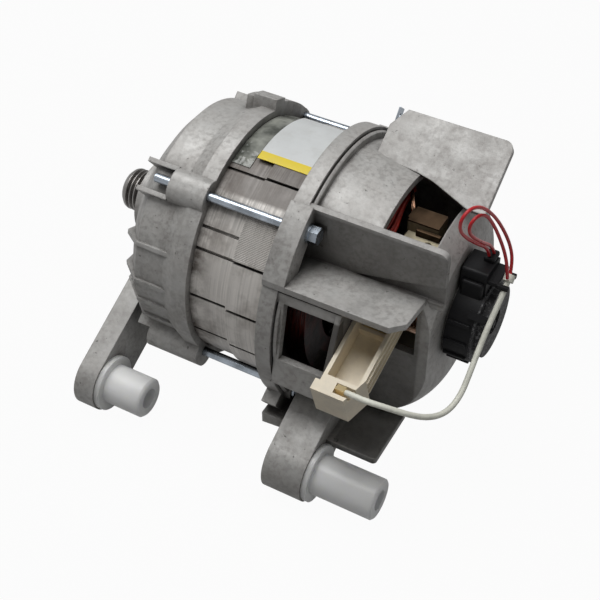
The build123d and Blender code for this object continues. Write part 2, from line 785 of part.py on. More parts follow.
def armature_winding():
    """Both winding heads and the bars in the slots, as one varnished bundle."""
    radius = stack_bore - air_gap - overrun
    round_off = coil_bar_width
    shape = Part()
    for start, end, tip in ((winding_start, stack_start - touch, winding_start),
                            (stack_end + touch, winding_end, winding_end)):
        lean = round_off if tip == start else -round_off
        root = end if tip == start else start
        shape += turned([(root, winding_inner), (root, winding_outer), (tip + lean, winding_outer),
                         (tip, winding_outer - round_off), (tip, winding_inner)])
    for i in range(armature_slots):
        shape += around(full_turn / armature_slots * i, block(winding_start + 2 * round_off,
                                                        winding_end - 2 * round_off,
                                                        radius - slot_depth + 2 * overrun, radius - overrun,
                                                        -coil_bar_width / 2, coil_bar_width / 2))
    save("armature_winding", shape)


def commutator():
    """The copper bars on their hub, with the risers towards the winding."""
    shape = tube(commutator_radius, shaft_core_radius, commutator_start, commutator_end)
    shape += tube(commutator_riser_radius, commutator_radius - overrun, commutator_start,
                  commutator_start + commutator_riser_width)
    for i in range(armature_slots):
        groove = block(commutator_start - overrun, commutator_end + overrun,
                       commutator_radius - commutator_groove_depth, commutator_riser_radius + overrun,
                       -commutator_groove / 2, commutator_groove / 2)
        shape -= around(full_turn / armature_slots * (i + 1 / 2), groove)
    save("commutator", shape)


def cooling_fan():
    """The radial fan behind the drive side shield."""
    shape = tube(fan_hub_radius, shaft_core_radius, fan_start, fan_end)
    shape += tube(fan_radius, fan_hub_radius - overrun, fan_end - fan_plate, fan_end)
    for i in range(fan_blades):
        blade = block(fan_start, fan_end, fan_hub_radius - overrun, fan_radius, -fan_blade_width / 2,
                      fan_blade_width / 2)
        shape += around(full_turn / fan_blades * i, blade)
    save("cooling_fan", shape)


def brush_gear(side, turn):
    """A brush holder, its carbon brush, the spring behind it and the contact clip on top."""
    half_w = brush_width / 2
    half_t = brush_thickness / 2
    low = commutator_radius + brush_contact_gap
    top = low + brush_length
    outer_w = half_w + brush_gap + holder_wall
    outer_t = half_t + brush_gap + holder_wall
    inner_w = half_w + brush_gap
    inner_t = half_t + brush_gap
    holder = block(brush_centre - outer_w, brush_centre + outer_w, holder_start, holder_end,
                   -outer_t, outer_t)
    holder += block(rear_wall_in - holder_wall, rear_wall_in, holder_start, holder_foot_end,
                    -holder_foot_half, holder_foot_half)
    holder += block(brush_centre + inner_w, rear_wall_in, holder_start, holder_foot_end,
                    -outer_t, outer_t)
    holder -= block(brush_centre - inner_w, brush_centre + inner_w, holder_start - overrun,
                    holder_end + overrun, -inner_t, inner_t)
    save("brush_holder_" + side, around(turn, holder))
    brush = block(brush_centre - half_w, brush_centre + half_w, low, top, -half_t, half_t)
    brush -= rod(low, brush_centre - brush_width, brush_centre + brush_width)
    save("carbon_brush_" + side, around(turn, brush))
    spring = block(brush_centre - half_w + spring_clearance, brush_centre + half_w - spring_clearance,
                   top + touch, holder_end - touch, -half_t + spring_clearance, half_t - spring_clearance)
    save("brush_spring_" + side, around(turn, spring))
    clip = block(brush_centre - outer_w, brush_centre + outer_w, holder_end, holder_end + clip_wall,
                 -outer_t, outer_t)
    clip += block(brush_centre - outer_w - clip_wall, brush_centre - outer_w, holder_end - brush_width,
                  holder_end + clip_wall, -half_t, half_t)
    save("brush_cap_" + side, around(turn, clip))


def tacho():
    """The tacho: housing, coil, end disc, cap with terminals, clip and the magnet on the shaft."""
    start = rear_hub_end
    housing = tube(tacho_radius, tacho_radius - tacho_wall, start, tacho_end)
    housing += tube(tacho_radius, tacho_bore, start, start + tacho_floor)
    cap = block(start, tacho_end, -tacho_cap_width / 2, tacho_cap_width / 2,
                tacho_radius - tacho_wall / 2, tacho_radius + tacho_cap_height)
    cap = fillet(cap.edges().filter_by(Axis.X).sort_by(Axis.Z)[-2:], tacho_wall)
    housing += cap
    clip_top = tacho_radius + tacho_wall
    clip = block(tacho_end - 2 * tacho_wall, tacho_end, tacho_radius - tacho_wall / 2, clip_top,
                 -tacho_wall, tacho_wall)
    clip += block(tacho_end - tacho_wall, tacho_clip_end, tacho_radius + seat_gap, clip_top,
                  -tacho_wall, tacho_wall)
    housing += around(tacho_clip_angle, clip)
    save("tacho_housing", housing)
    coil_start = start + tacho_floor + seat_gap
    save("tacho_coil", tube(tacho_radius - tacho_wall - seat_gap, tacho_coil_inner, coil_start,
                            tacho_end - seat_gap))
    disc = tube(tacho_disc_radius, shaft_radius_rear + overrun, tacho_end, tacho_disc_end)
    disc += tube(tacho_radius, tacho_disc_radius - overrun, tacho_end, tacho_end + tacho_wall / 2)
    save("tacho_end_disc", disc)
    magnet_start = shaft_end - tacho_magnet_length - touch
    save("tacho_magnet", tube(tacho_magnet_radius, shaft_radius_rear, magnet_start,
                              magnet_start + tacho_magnet_length))


def connector():
    """The cream plug housing with its tray, and its brass terminals."""
    tray_end = tray_start + tray_width
    tray = block(tray_start, tray_end, plug_back, tray_inner, -tray_height, 0)
    tray += block(plug_start, plug_start + plug_width, plug_front, plug_lip, -plug_height, 0)
    tray += block(tray_start, plug_start + plug_width, plug_lip - overrun, plug_back + overrun,
                  -plug_height, 0)
    with BuildSketch(Plane.XY.offset(-plug_height)) as cheek:
        with BuildLine():
            Polyline((plug_start + plug_width - overrun, plug_front), (plug_start + plug_width, plug_front),
                     (tray_end, plug_back), (plug_start + plug_width - overrun, plug_back), close=True)
        make_face()
    tray += extrude(cheek.sketch, amount=plug_height)
    tray -= block(tray_start + tray_wall, tray_end - tray_wall, plug_back - 2 * tray_wall,
                  tray_inner - tray_wall, -tray_height + tray_wall, overrun)
    tray += block(tray_start, tray_end, tray_divider, tray_divider + tray_wall, -tray_height,
                  -tray_height / 2)
    for i in range(tray_rib_count):
        height = -tray_height * (i + 1 / 2) / tray_rib_count
        tray += block(tray_end - overrun, tray_end + tray_rib_height, plug_back, tray_inner,
                      height - tray_rib_height, height)
    tray -= block(plug_start + tray_wall, plug_start + plug_width - tray_wall, plug_front + tray_wall,
                  plug_back - tray_wall, -plug_height - overrun, -plug_height / 2)
    place = Pos(0, tray_mid_y, tray_mid_z) * Rot(tray_tilt, 0, 0)
    crimp_y = (white_route[0][1] - tray_mid_y) / cos(radians(tray_tilt))
    seat_half = crimp_size / 2 + 3 * touch
    tray -= block(white_route[0][0] - crimp_length - 2 * touch, tray_end + overrun, crimp_y - seat_half,
                  crimp_y + seat_half, -crimp_size - touch, overrun)
    save("connector_housing", place * tray)
    tabs = []
    pitch = (tray_width - 2 * tray_wall) / terminal_count
    for i in range(terminal_count):
        x = tray_start + tray_wall + pitch * (i + 1 / 2)
        tabs.append(place * block(x - terminal_width / 2, x + terminal_width / 2, terminal_seat,
                                  terminal_seat + terminal_length, -tray_height + tray_wall,
                                  -tray_height + tray_wall + terminal_thickness))
    save("connector_terminals", Compound(children=tabs))


def rating_label():
    """The bare rating label, bowed over the stack."""
    inner = stack_radius + seat_gap
    save("rating_label", sector(inner, inner + label_thickness, label_first_angle, label_last_angle,
                                label_start, label_end))


def insulation_film():
    """The dark film tucked round the drive side of the stack."""
    inner = stack_radius_drive + seat_gap
    save("insulation_film", sector(inner, inner + label_thickness, film_first_angle, film_last_angle,
                                   drive_ring_start + touch, film_end))


def earth_tab():
    """The earth terminal, a bent zinc tab on the rear ring."""
    half = earth_tab_width / 2
    foot = block(rear_bowl_start, rear_bowl_start + earth_tab_thickness, rear_bowl_radius + touch,
                 earth_tab_top, -half, half)
    save("earth_tab", around(earth_tab_angle, foot))


def lead_ends():
    """The crimp on the plug that holds the white sleeve, and the collar where the red leads enter it."""
    start = Vector(*white_route[0])
    along = Vector(*white_route[1]) - start
    crimp = Plane(origin=start, z_dir=along) * Pos(0, 0, -crimp_length / 2) * Box(crimp_size, crimp_size,
                                                                                   crimp_length)
    save("lead_crimp", crimp)
    end = Vector(*white_route[-1])
    direction = end - Vector(*white_route[-2])
    collar = Plane(origin=end, z_dir=direction) * Pos(0, 0, collar_length / 2) * Cylinder(collar_radius,
                                                                                          collar_length)
    save("lead_collar", collar)


drive_end_shield()
rear_end_shield()
stator_core()
field_coil("field_coil_front", full_turn / 2)
field_coil("field_coil_back", 0)
coil_liners()
through_bolts()
bearing("drive", drive_seat_start, drive_bearing_bore, drive_bearing_outer, drive_bearing_width)
bearing("rear", rear_seat_start, rear_bearing_bore, rear_bearing_outer, rear_bearing_width)
rotor_shaft()
poly_v_pulley()
armature_core()
armature_winding()
commutator()
cooling_fan()
brush_gear("upper", quarter_turn)
brush_gear("lower", -quarter_turn)
tacho()
connector()
bushing(drive_arm_end, drive_bushing_length, "bushing_drive")
bushing(rear_arm_end, rear_bushing_length, "bushing_rear")
rating_label()
insulation_film()
earth_tab()
lead_ends()
cord("white_lead", white_route, lead_radius)
cord("red_lead_outer", red_route_outer, red_lead_radius)
cord("red_lead_inner", red_route_inner, red_lead_radius)
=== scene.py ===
"""Looks of a brushed washing machine motor, laid out as a Blender add-on and run as a script."""
import math

import bpy
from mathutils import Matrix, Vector


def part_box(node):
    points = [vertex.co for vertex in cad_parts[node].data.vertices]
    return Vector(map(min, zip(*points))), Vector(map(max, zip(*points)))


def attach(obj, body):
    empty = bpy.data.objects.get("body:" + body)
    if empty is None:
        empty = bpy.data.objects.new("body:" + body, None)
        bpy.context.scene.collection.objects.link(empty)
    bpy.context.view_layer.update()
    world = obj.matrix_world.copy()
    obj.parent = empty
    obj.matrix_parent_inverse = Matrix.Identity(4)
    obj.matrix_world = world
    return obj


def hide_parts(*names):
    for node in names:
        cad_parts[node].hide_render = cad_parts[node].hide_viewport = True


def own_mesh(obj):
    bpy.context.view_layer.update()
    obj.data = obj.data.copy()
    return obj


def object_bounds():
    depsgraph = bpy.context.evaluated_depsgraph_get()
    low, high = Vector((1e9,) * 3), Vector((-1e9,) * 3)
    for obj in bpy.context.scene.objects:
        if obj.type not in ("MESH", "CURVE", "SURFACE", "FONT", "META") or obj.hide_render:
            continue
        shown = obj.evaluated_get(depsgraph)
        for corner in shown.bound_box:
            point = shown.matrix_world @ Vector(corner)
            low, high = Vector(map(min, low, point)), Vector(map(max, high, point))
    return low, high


bl_info = {
    "name": "Washing machine motor",
    "version": (1, 0, 0),
    "blender": (4, 5, 0),
    "location": "3D View > Sidebar > Motor",
    "description": "Dresses the packed motor: castings, stack, windings, brush gear, plug and leads",
    "category": "Object",
}

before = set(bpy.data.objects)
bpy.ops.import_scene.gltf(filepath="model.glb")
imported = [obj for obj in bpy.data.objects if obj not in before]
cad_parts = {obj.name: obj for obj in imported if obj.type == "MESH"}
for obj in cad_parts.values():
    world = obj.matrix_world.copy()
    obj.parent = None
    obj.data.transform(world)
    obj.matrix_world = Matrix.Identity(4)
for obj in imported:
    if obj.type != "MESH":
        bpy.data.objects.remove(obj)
cad_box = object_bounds()
bpy.ops.object.select_all(action="DESELECT")
MM = 0.001

# Leads: the control points of the CAD tubes, in millimetres
WHITE_ROUTE = [(58.4, -78.2, 10.6), (64.0, -78.8, 11.1), (70.0, -78.9, 11.4), (77.2, -77.3, 10.4),
               (84.4, -73.6, 6.8), (90.0, -67.6, 1.6), (94.0, -60.6, -2.0), (96.2, -53.0, -3.4),
               (97.2, -45.0, -1.2), (97.0, -37.6, 3.6), (96.6, -30.4, 7.8), (96.4, -23.4, 12.2),
               (96.6, -16.5, 17.6), (97.0, -9.0, 23.4), (97.0, -2.5, 28.4)]
RED_ROUTE_OUTER = [(85.6, 3.2, 32.0), (85.4, 2.0, 39.0), (83.6, -12.0, 52.0), (82.2, -23.5, 64.0),
                   (81.6, -28.6, 71.6), (82.0, -28.6, 77.6), (83.8, -23.4, 79.8), (86.0, -16.0, 75.6),
                   (88.8, -7.6, 65.6), (91.8, -1.4, 54.2), (94.6, 1.6, 44.6), (96.6, 1.2, 37.2),
                   (97.0, -0.6, 31.6)]
RED_ROUTE_INNER = [(86.8, 6.0, 32.0), (86.6, 4.6, 38.5), (85.0, -8.5, 50.5), (83.8, -17.4, 59.6),
                   (83.4, -21.8, 65.8), (83.8, -22.6, 70.8), (85.4, -18.8, 73.2), (87.4, -13.6, 70.0),
                   (89.6, -9.2, 62.0), (92.2, -6.2, 53.0), (94.8, -4.8, 44.8), (96.6, -4.8, 37.6),
                   (97.0, -3.9, 31.6)]

# Inner wiring: the leads that cross between the coils, and the upper brush's lead, in millimetres
CROSSING_ROUTE = [(20.0, 36.0, 27.0), (27.0, 33.0, 32.0), (34.0, 27.0, 38.0), (40.5, 20.0, 42.4),
                  (41.4, 8.0, 45.0), (43.0, -2.0, 45.0), (45.4, -13.0, 43.0), (42.0, -23.0, 37.0),
                  (32.0, -29.0, 30.0), (22.0, -35.0, 24.0)]
BRUSH_LEAD_ROUTE = [(49.4, 2.0, 43.0), (47.6, 4.5, 46.0), (45.4, 9.0, 46.6), (43.4, 13.5, 45.0),
                    (41.0, 17.0, 43.2)]
# Bundles: radius of one wire and of the ring of wires in millimetres, and how many stand in the ring
CROSSING_BUNDLE = (0.9, 1.9, 6)
BRUSH_LEAD_BUNDLE = (0.35, 0.6, 5)
# How far the ring turns from one control point to the next, in radians, and how much it leans to Y
BUNDLE_TWIST = 0.35
BUNDLE_LEAN = 0.2
# Round wire: how finely it is rounded and followed, and a spring's control points in one turn
LEAD_FINENESS = (5, 12)
SPRING_FINENESS = (3, 4)
BUNDLE_FINENESS = (3, 8)
POINTS_PER_TURN = 12

# Tacho trim: two corners and the edges' radius of each block, in millimetres; the rib is drawn at +Y
TACHO_BLOCKS = {
    "lead_grommet": ((83.6, 0.8, 31.4), (88.8, 8.2, 34.4), 1.1),
    "lead_clip_plate": ((88.8, -6.8, 26.6), (94.2, 6.8, 28.8), 0.5),
    "lead_clip_prong_front": ((93.6, -7.4, 26.6), (99.0, -5.4, 28.8), 0.5),
    "lead_clip_prong_back": ((93.6, 1.8, 26.6), (99.0, 3.8, 28.8), 0.5),
    "tacho_shoulder_front": ((78.4, -9.6, 16.0), (88.6, -6.8, 26.8), 1.0),
    "tacho_shoulder_back": ((78.4, 6.8, 16.0), (88.6, 9.6, 26.8), 1.0),
}
TACHO_RIB = ((77.6, 20.4, -0.9), (88.4, 22.2, 0.9), 0.4)

# Brush card in millimetres: corners and edge radius of plate and bar; radius, centre and cut of its hole
CARD_PLATE = ((50.2, -17.0, 38.4), (66.4, -5.0, 40.2), 0.4)
CARD_HOLE = (1.9, (61.8, -10.4, 39.3), 6.0)
CARD_BAR = ((54.6, -7.4, 40.2), (66.2, -5.6, 43.6), 0.3)

# Earth tab in millimetres: sheet, edges, radius and cut of its holes, where its foot ends and its
# short blade starts along the axis from the tall blade's face, and distances from the axis
TAB_SHEET = 0.8
TAB_EDGE = 0.25
TAB_HOLE = 1.0
TAB_CUT = 4.0
TAB_FOOT = 9.0
SHORT_BLADE_START = 8.2
TAB_BASE = 62.4
BLADE_TOP = 78.0
BLADE_HOLE = 74.4
SHORT_BLADE_TOP = 69.6
SHORT_BLADE_HOLE = 66.9

# Stack: where zones fade in, in metres along the axis or radians about it, from +Y towards +Z
STEP_ALONG = (-0.0117, -0.0113)
STEP_FIRST = (2.17, 2.19)
STEP_LAST = (2.585, 2.57)
VARNISH_FIRST = (1.0, 1.05)
VARNISH_LAST = (2.14, 2.11)
DARK_SPOT_ALONG = (-0.019, -0.030)
# The fine ridges on the step: how fast their wave runs with the angle
RIDGE_WAVE = 520.0
# The label's stripe: the radians over which its edge fades
STRIPE_FADE = 0.004

# Painted shade on the rear casting: two corners in millimetres, and how far it covers the jamb beside the
# front window, the upright wall and the inside of the connector's bay
SHADED_PLACES = (
    ((42.6, -71.0, -9.0), (46.4, -56.5, 27.4), 0.95),
    ((17.0, -34.0, 30.0), (82.0, -29.0, 57.6), 0.5),
    ((45.0, -62.0, -52.0), (72.0, -30.0, 30.0), 0.55),
)

# Noise layers of the castings: scale, the two levels they fade between, detail and roughness
FLOW_MARKS = (20, 0.32, 0.68, 4)
CAST_CLOUDS = (95, 0.35, 0.7, 5, 0.65)
CAST_MOTTLE = (430, 0.46, 0.62, 4, 0.6)
MOTTLE_SPREAD = (45, 0.36, 0.6, 3, 0.6)
CAST_STAINS = (34, 0.54, 0.74, 6, 0.68)
CAST_PITS = (420, 0.70, 0.76, 2, 0.5)
EDGE_WEAR_AND_HIGHLIGHT = (210, 0.38, 0.62, 4, 0.6)
# The patches of the painted shade on the rear casting
SHADE_PATCHES = (70, 0.3, 0.7, 4, 0.6)
CREASE_SHADE_PATCHES = (150, 0.3, 0.6, 4, 0.6)
# The same of the stack, the windings and the label
VARNISH_CLOUDS = (80, 0.35, 0.7, 4, 0.6)
WARM_CLOUDS = (30, 0.48, 0.72, 4, 0.6)
DARK_SPOTS = (110, 0.38, 0.62, 5, 0.65)
STACK_STAINS = (60, 0.50, 0.78, 5, 0.65)
BAKED_PATCHES = (160, 0.5, 0.8, 4, 0.6)
LABEL_MARKS = (140, 0.5, 0.8, 5, 0.65)
# Stretched noise: scale along each axis
SHEET_RINGS = (1500.0, 9.0, 9.0)
SHEET_BANDS = (230.0, 18.0, 18.0)
WIRE_STRANDS = (1500.0, 90.0, 90.0)
TURNING_MARKS = (2600.0, 60.0, 60.0)
# Shelter: how far off walls count, in metres, and the open shares at which painted shade, with
# carbon dust inside the motor, is full and gone
RECESS_SHADE = (0.045, 0.08, 0.46)
CREASE_SHADE = (0.007, 0.45, 0.94)
DUST_AND_SHADE_LEVELS = (0.12, 0.5)
# Drilled holes: how many sides stand for a circle
HOLE_SIDES = 32

# Tones of wear, dirt and varnish, and of painted highlight, sheen and shade
RUBBED_AND_LIT_EDGE = (0.62, 0.61, 0.59)
CARBON_DUST_AND_SHADE = (0.006, 0.005, 0.005)
RIDGE_GAP = (0.16, 0.145, 0.13)
STACK_VARNISH = (0.070, 0.055, 0.045)
WARM_SHEETS = (0.22, 0.165, 0.125)
STACK_DARK_SPOT = (0.055, 0.038, 0.028)
STACK_STAIN = (0.10, 0.085, 0.07)
WIRE_GAP = (0.022, 0.003, 0.002)
WIRE_ENAMEL = (0.20, 0.022, 0.012)
BAKED_VARNISH = (0.03, 0.01, 0.008)
PULLEY_GROOVE = (0.22, 0.212, 0.204)
PULLEY_MARK = (0.46, 0.445, 0.43)
DISC_GREY = (0.025, 0.025, 0.026)
DISC_FLECK = (0.24, 0.24, 0.245)
FILM_FOLD = (0.07, 0.076, 0.064)
FILM_SHEEN = (0.36, 0.37, 0.33)
LABEL_PAPER = (0.68, 0.70, 0.70)
LABEL_DIRT = (0.36, 0.34, 0.30)

# Metals: base colour, roughness and how far smudges spread from it
METALS = {
    "zinc": ((0.44, 0.49, 0.55), 0.26, 0.3),
    "ground_steel": ((0.52, 0.52, 0.52), 0.25, 0.18),
    "copper": ((0.40, 0.18, 0.10), 0.35, 0.18),
    "bright_copper": ((0.80, 0.46, 0.30), 0.3, 0.18),
    "brass": ((0.66, 0.48, 0.20), 0.3, 0.18),
    # Brass darkened into painted shade, for the parts deep in the brush window
    "brass_shaded": ((0.10, 0.065, 0.04), 0.45, 0.18),
    "spring": ((0.40, 0.40, 0.40), 0.3, 0.18),
}
# Plastics and sintered parts: base colour, roughness, how far marks spread, and specular level
PLASTICS = {
    "coil_frame": ((0.62, 0.60, 0.52), 0.45, 0.1, 0.5),
    "crossing": ((0.36, 0.026, 0.016), 0.35, 0.4, 0.4),
    "card": ((0.52, 0.46, 0.32), 0.5, 0.25, 0.5),
    # The holders' tone is darkened into painted shade of the brush window
    "holder": ((0.17, 0.135, 0.085), 0.5, 0.25, 0.25),
    "carbon": ((0.03, 0.03, 0.03), 0.6, 0.1, 0.5),
    "ferrite": ((0.06, 0.06, 0.065), 0.6, 0.1, 0.5),
}
# Wire insulation: base colour and roughness
INSULATIONS = {
    "sleeve": ((0.86, 0.86, 0.76), 0.5),
    "red_lead": ((0.62, 0.012, 0.02), 0.32),
}
# The finish of each CAD node
NODE_FINISHES = {
    "casting": ("drive_end_shield",),
    "casting_rear": ("rear_end_shield",),
    "stack": ("stator_core", "armature_core"),
    "winding": ("field_coil_front", "field_coil_back", "armature_winding", "tacho_coil"),
    "coil_frame": ("coil_liners", "cooling_fan"),
    "zinc": ("through_bolts", "earth_tab"),
    "ground_steel": ("rotor_shaft", "drive_bearing_outer_ring", "drive_bearing_inner_ring",
                     "drive_bearing_balls", "rear_bearing_outer_ring", "rear_bearing_inner_ring",
                     "rear_bearing_balls"),
    "pulley": ("poly_v_pulley",),
    "copper": ("commutator",),
    "brass": ("connector_terminals", "lead_crimp"),
    # The brush caps wear brass darkened into painted shade
    "brass_shaded": ("brush_cap_upper", "brush_cap_lower"),
    # The holders' tone is darkened into painted shade
    "holder": ("brush_holder_upper", "brush_holder_lower"),
    "carbon": ("carbon_brush_upper", "carbon_brush_lower"),
    "black": ("tacho_housing",),
    "mottled": ("tacho_end_disc",),
    "cream": ("connector_housing",),
    "nylon": ("bushing_drive", "bushing_rear"),
    "label": ("rating_label",),
    "film": ("insulation_film",),
    "sleeve": ("lead_collar",),
    "ferrite": ("tacho_magnet",),
    "spring": ("brush_spring_upper", "brush_spring_lower"),
}

# Soft lamps: place and size in metres, and share of the lamp level
LAMPS = {
    "top_lamp": ((-0.20, 0.0, 0.98), 0.7, 2.45),
    "side_lamp": ((-0.85, -0.25, 0.55), 0.6, 0.12),
    "fill_lamp": ((0.75, -0.45, 0.35), 0.7, 0.14),
}
# Backdrop: how bright the world and the floor look to the camera, and their share in reflections
WORLD_WHITE = 0.965
FLOOR_WHITE = 0.96
REFLECTED_SHARE = 0.4
FLOOR_GREY = (0.3, 0.3, 0.3)
FLOOR_SIZE = 6.0


class MotorFinish(bpy.types.PropertyGroup):
    """Colours and surface sizes of the motor's finishes."""

    casting: bpy.props.FloatVectorProperty(
        name="Casting", description="Raw die cast aluminium", subtype="COLOR", default=(0.49, 0.485, 0.47))
    # Also the tone of the painted shade in recesses, creases, dark places and on the connector's side
    casting_dark: bpy.props.FloatVectorProperty(
        name="Casting stains", description="Dust and oil on the castings", subtype="COLOR",
        default=(0.13, 0.12, 0.11))
    lamination: bpy.props.FloatVectorProperty(
        name="Stack", description="Edges of the electrical sheet", subtype="COLOR",
        default=(0.56, 0.535, 0.505))
    nylon: bpy.props.FloatVectorProperty(
        name="Nylon", description="White mounting bushings", subtype="COLOR", default=(0.95, 0.96, 0.97))
    cream: bpy.props.FloatVectorProperty(
        name="Cream plastic", description="Plug housing", subtype="COLOR", default=(0.80, 0.71, 0.55))
    black: bpy.props.FloatVectorProperty(
        name="Black plastic", description="Tacho housing, lead clip and ribs", subtype="COLOR",
        default=(0.010, 0.010, 0.011))
    stripe: bpy.props.FloatVectorProperty(
        name="Label stripe", description="Coloured stripe along the label", subtype="COLOR",
        default=(0.80, 0.62, 0.02))
    stripe_angle: bpy.props.FloatProperty(
        name="Stripe", description="Where about the axis the label's stripe starts", subtype="ANGLE",
        unit="ROTATION", default=math.radians(98.5))
    casting_warm: bpy.props.FloatVectorProperty(
        name="Casting flow marks", description="Browner skin of the castings", subtype="COLOR",
        default=(0.33, 0.305, 0.285))
    edge_radius: bpy.props.FloatProperty(
        name="Edge", description="Rounding of the castings' edges", subtype="DISTANCE", unit="LENGTH",
        default=0.0008, precision=5)
    patch_length: bpy.props.FloatProperty(
        name="Patch length", description="Length of the stack's patches", subtype="DISTANCE", unit="LENGTH",
        default=0.021)
    patch_angle: bpy.props.FloatProperty(
        name="Patch turn", description="Turn about the axis that one patch covers", subtype="ANGLE",
        unit="ROTATION", default=math.radians(8.0))
    grain: bpy.props.FloatProperty(
        name="Cast grain", description="Size of the casting's grain", subtype="DISTANCE", unit="LENGTH",
        default=0.0012)


class MotorLeads(bpy.types.PropertyGroup):
    """Sizes of the leads."""

    white_radius: bpy.props.FloatProperty(
        name="White sleeve", description="Radius of the white sleeve", subtype="DISTANCE", unit="LENGTH",
        default=0.0013, precision=4)
    red_radius: bpy.props.FloatProperty(
        name="Red leads", description="Radius of each red lead", subtype="DISTANCE", unit="LENGTH",
        default=0.00075, precision=5)
    white_length: bpy.props.FloatProperty(
        name="White length", description="Length of the white sleeve", subtype="DISTANCE", unit="LENGTH",
        default=0.114)
    red_outer_length: bpy.props.FloatProperty(
        name="Outer red length", description="Length of the outer red lead", subtype="DISTANCE",
        unit="LENGTH", default=0.122)
    red_inner_length: bpy.props.FloatProperty(
        name="Inner red length", description="Length of the inner red lead", subtype="DISTANCE",
        unit="LENGTH", default=0.101)


class MotorSprings(bpy.types.PropertyGroup):
    """Sizes of the brush springs."""

    coil_radius: bpy.props.FloatProperty(
        name="Coil", description="Radius of the coils' middle line", subtype="DISTANCE", unit="LENGTH",
        default=0.0024, precision=4)
    wire_radius: bpy.props.FloatProperty(
        name="Wire", description="Radius of the wire", subtype="DISTANCE", unit="LENGTH", default=0.0003,
        precision=5)
    turns: bpy.props.IntProperty(name="Turns", description="Coils of each spring", default=4)
    keep: bpy.props.FloatProperty(
        name="Keep", description="Share of its length that a spring keeps when its brush is right out",
        default=0.4)


class MotorTrim(bpy.types.PropertyGroup):
    """Counts, turns and sizes of the small trim."""

    rib_count: bpy.props.IntProperty(name="Ribs", description="Ribs round the tacho's housing", default=9)
    rib_start: bpy.props.FloatProperty(
        name="First rib", description="Angle of the first rib, from +Y towards +Z", subtype="ANGLE",
        unit="ROTATION", default=math.radians(152.0))
    rib_turn: bpy.props.FloatProperty(
        name="Rib turn", description="Angle from one rib to the next", subtype="ANGLE", unit="ROTATION",
        default=math.radians(26.0))
    tab_angle: bpy.props.FloatProperty(
        name="Earth tab", description="Angle of the earth tab, from +Y towards +Z", subtype="ANGLE",
        unit="ROTATION", default=math.radians(48.0))
    tab_width: bpy.props.FloatProperty(
        name="Tab width", description="Width of the earth tab", subtype="DISTANCE", unit="LENGTH",
        default=0.0063, precision=4)


class MotorView(bpy.types.PropertyGroup):
    """Camera and lamps."""

    camera_place: bpy.props.FloatVectorProperty(
        name="Camera", description="Place of the camera", subtype="TRANSLATION", unit="LENGTH",
        default=(0.203113, -0.378718, 0.389835))
    camera_turn: bpy.props.FloatVectorProperty(
        name="Turn", description="Turn of the camera", subtype="EULER", unit="ROTATION",
        default=(math.radians(45.61), math.radians(-0.03), math.radians(28.97)))
    lens: bpy.props.FloatProperty(
        name="Lens", description="Focal length on a 36 mm sensor", default=73.32)
    lamp_level: bpy.props.FloatProperty(
        name="Lamp level", description="Watts that each soft lamp takes its share of", default=3.2)
    world_level: bpy.props.FloatProperty(
        name="World level", description="Strength of the light from all round", default=0.10)


def finish_values():
    """The finish settings."""
    return bpy.context.scene.motor_finish


def set_input(node, name, value):
    """Sets a constant on a node's own socket."""
    node.inputs[name].default_value = value


def colour(rgb):
    """A colour with full alpha."""
    return (rgb[0], rgb[1], rgb[2], 1.0)


def shade(base, factor):
    """A colour made lighter or darker."""
    return tuple(channel * factor for channel in base)


def metres(place):
    """A place in millimetres as one in metres."""
    return tuple(value * MM for value in place)


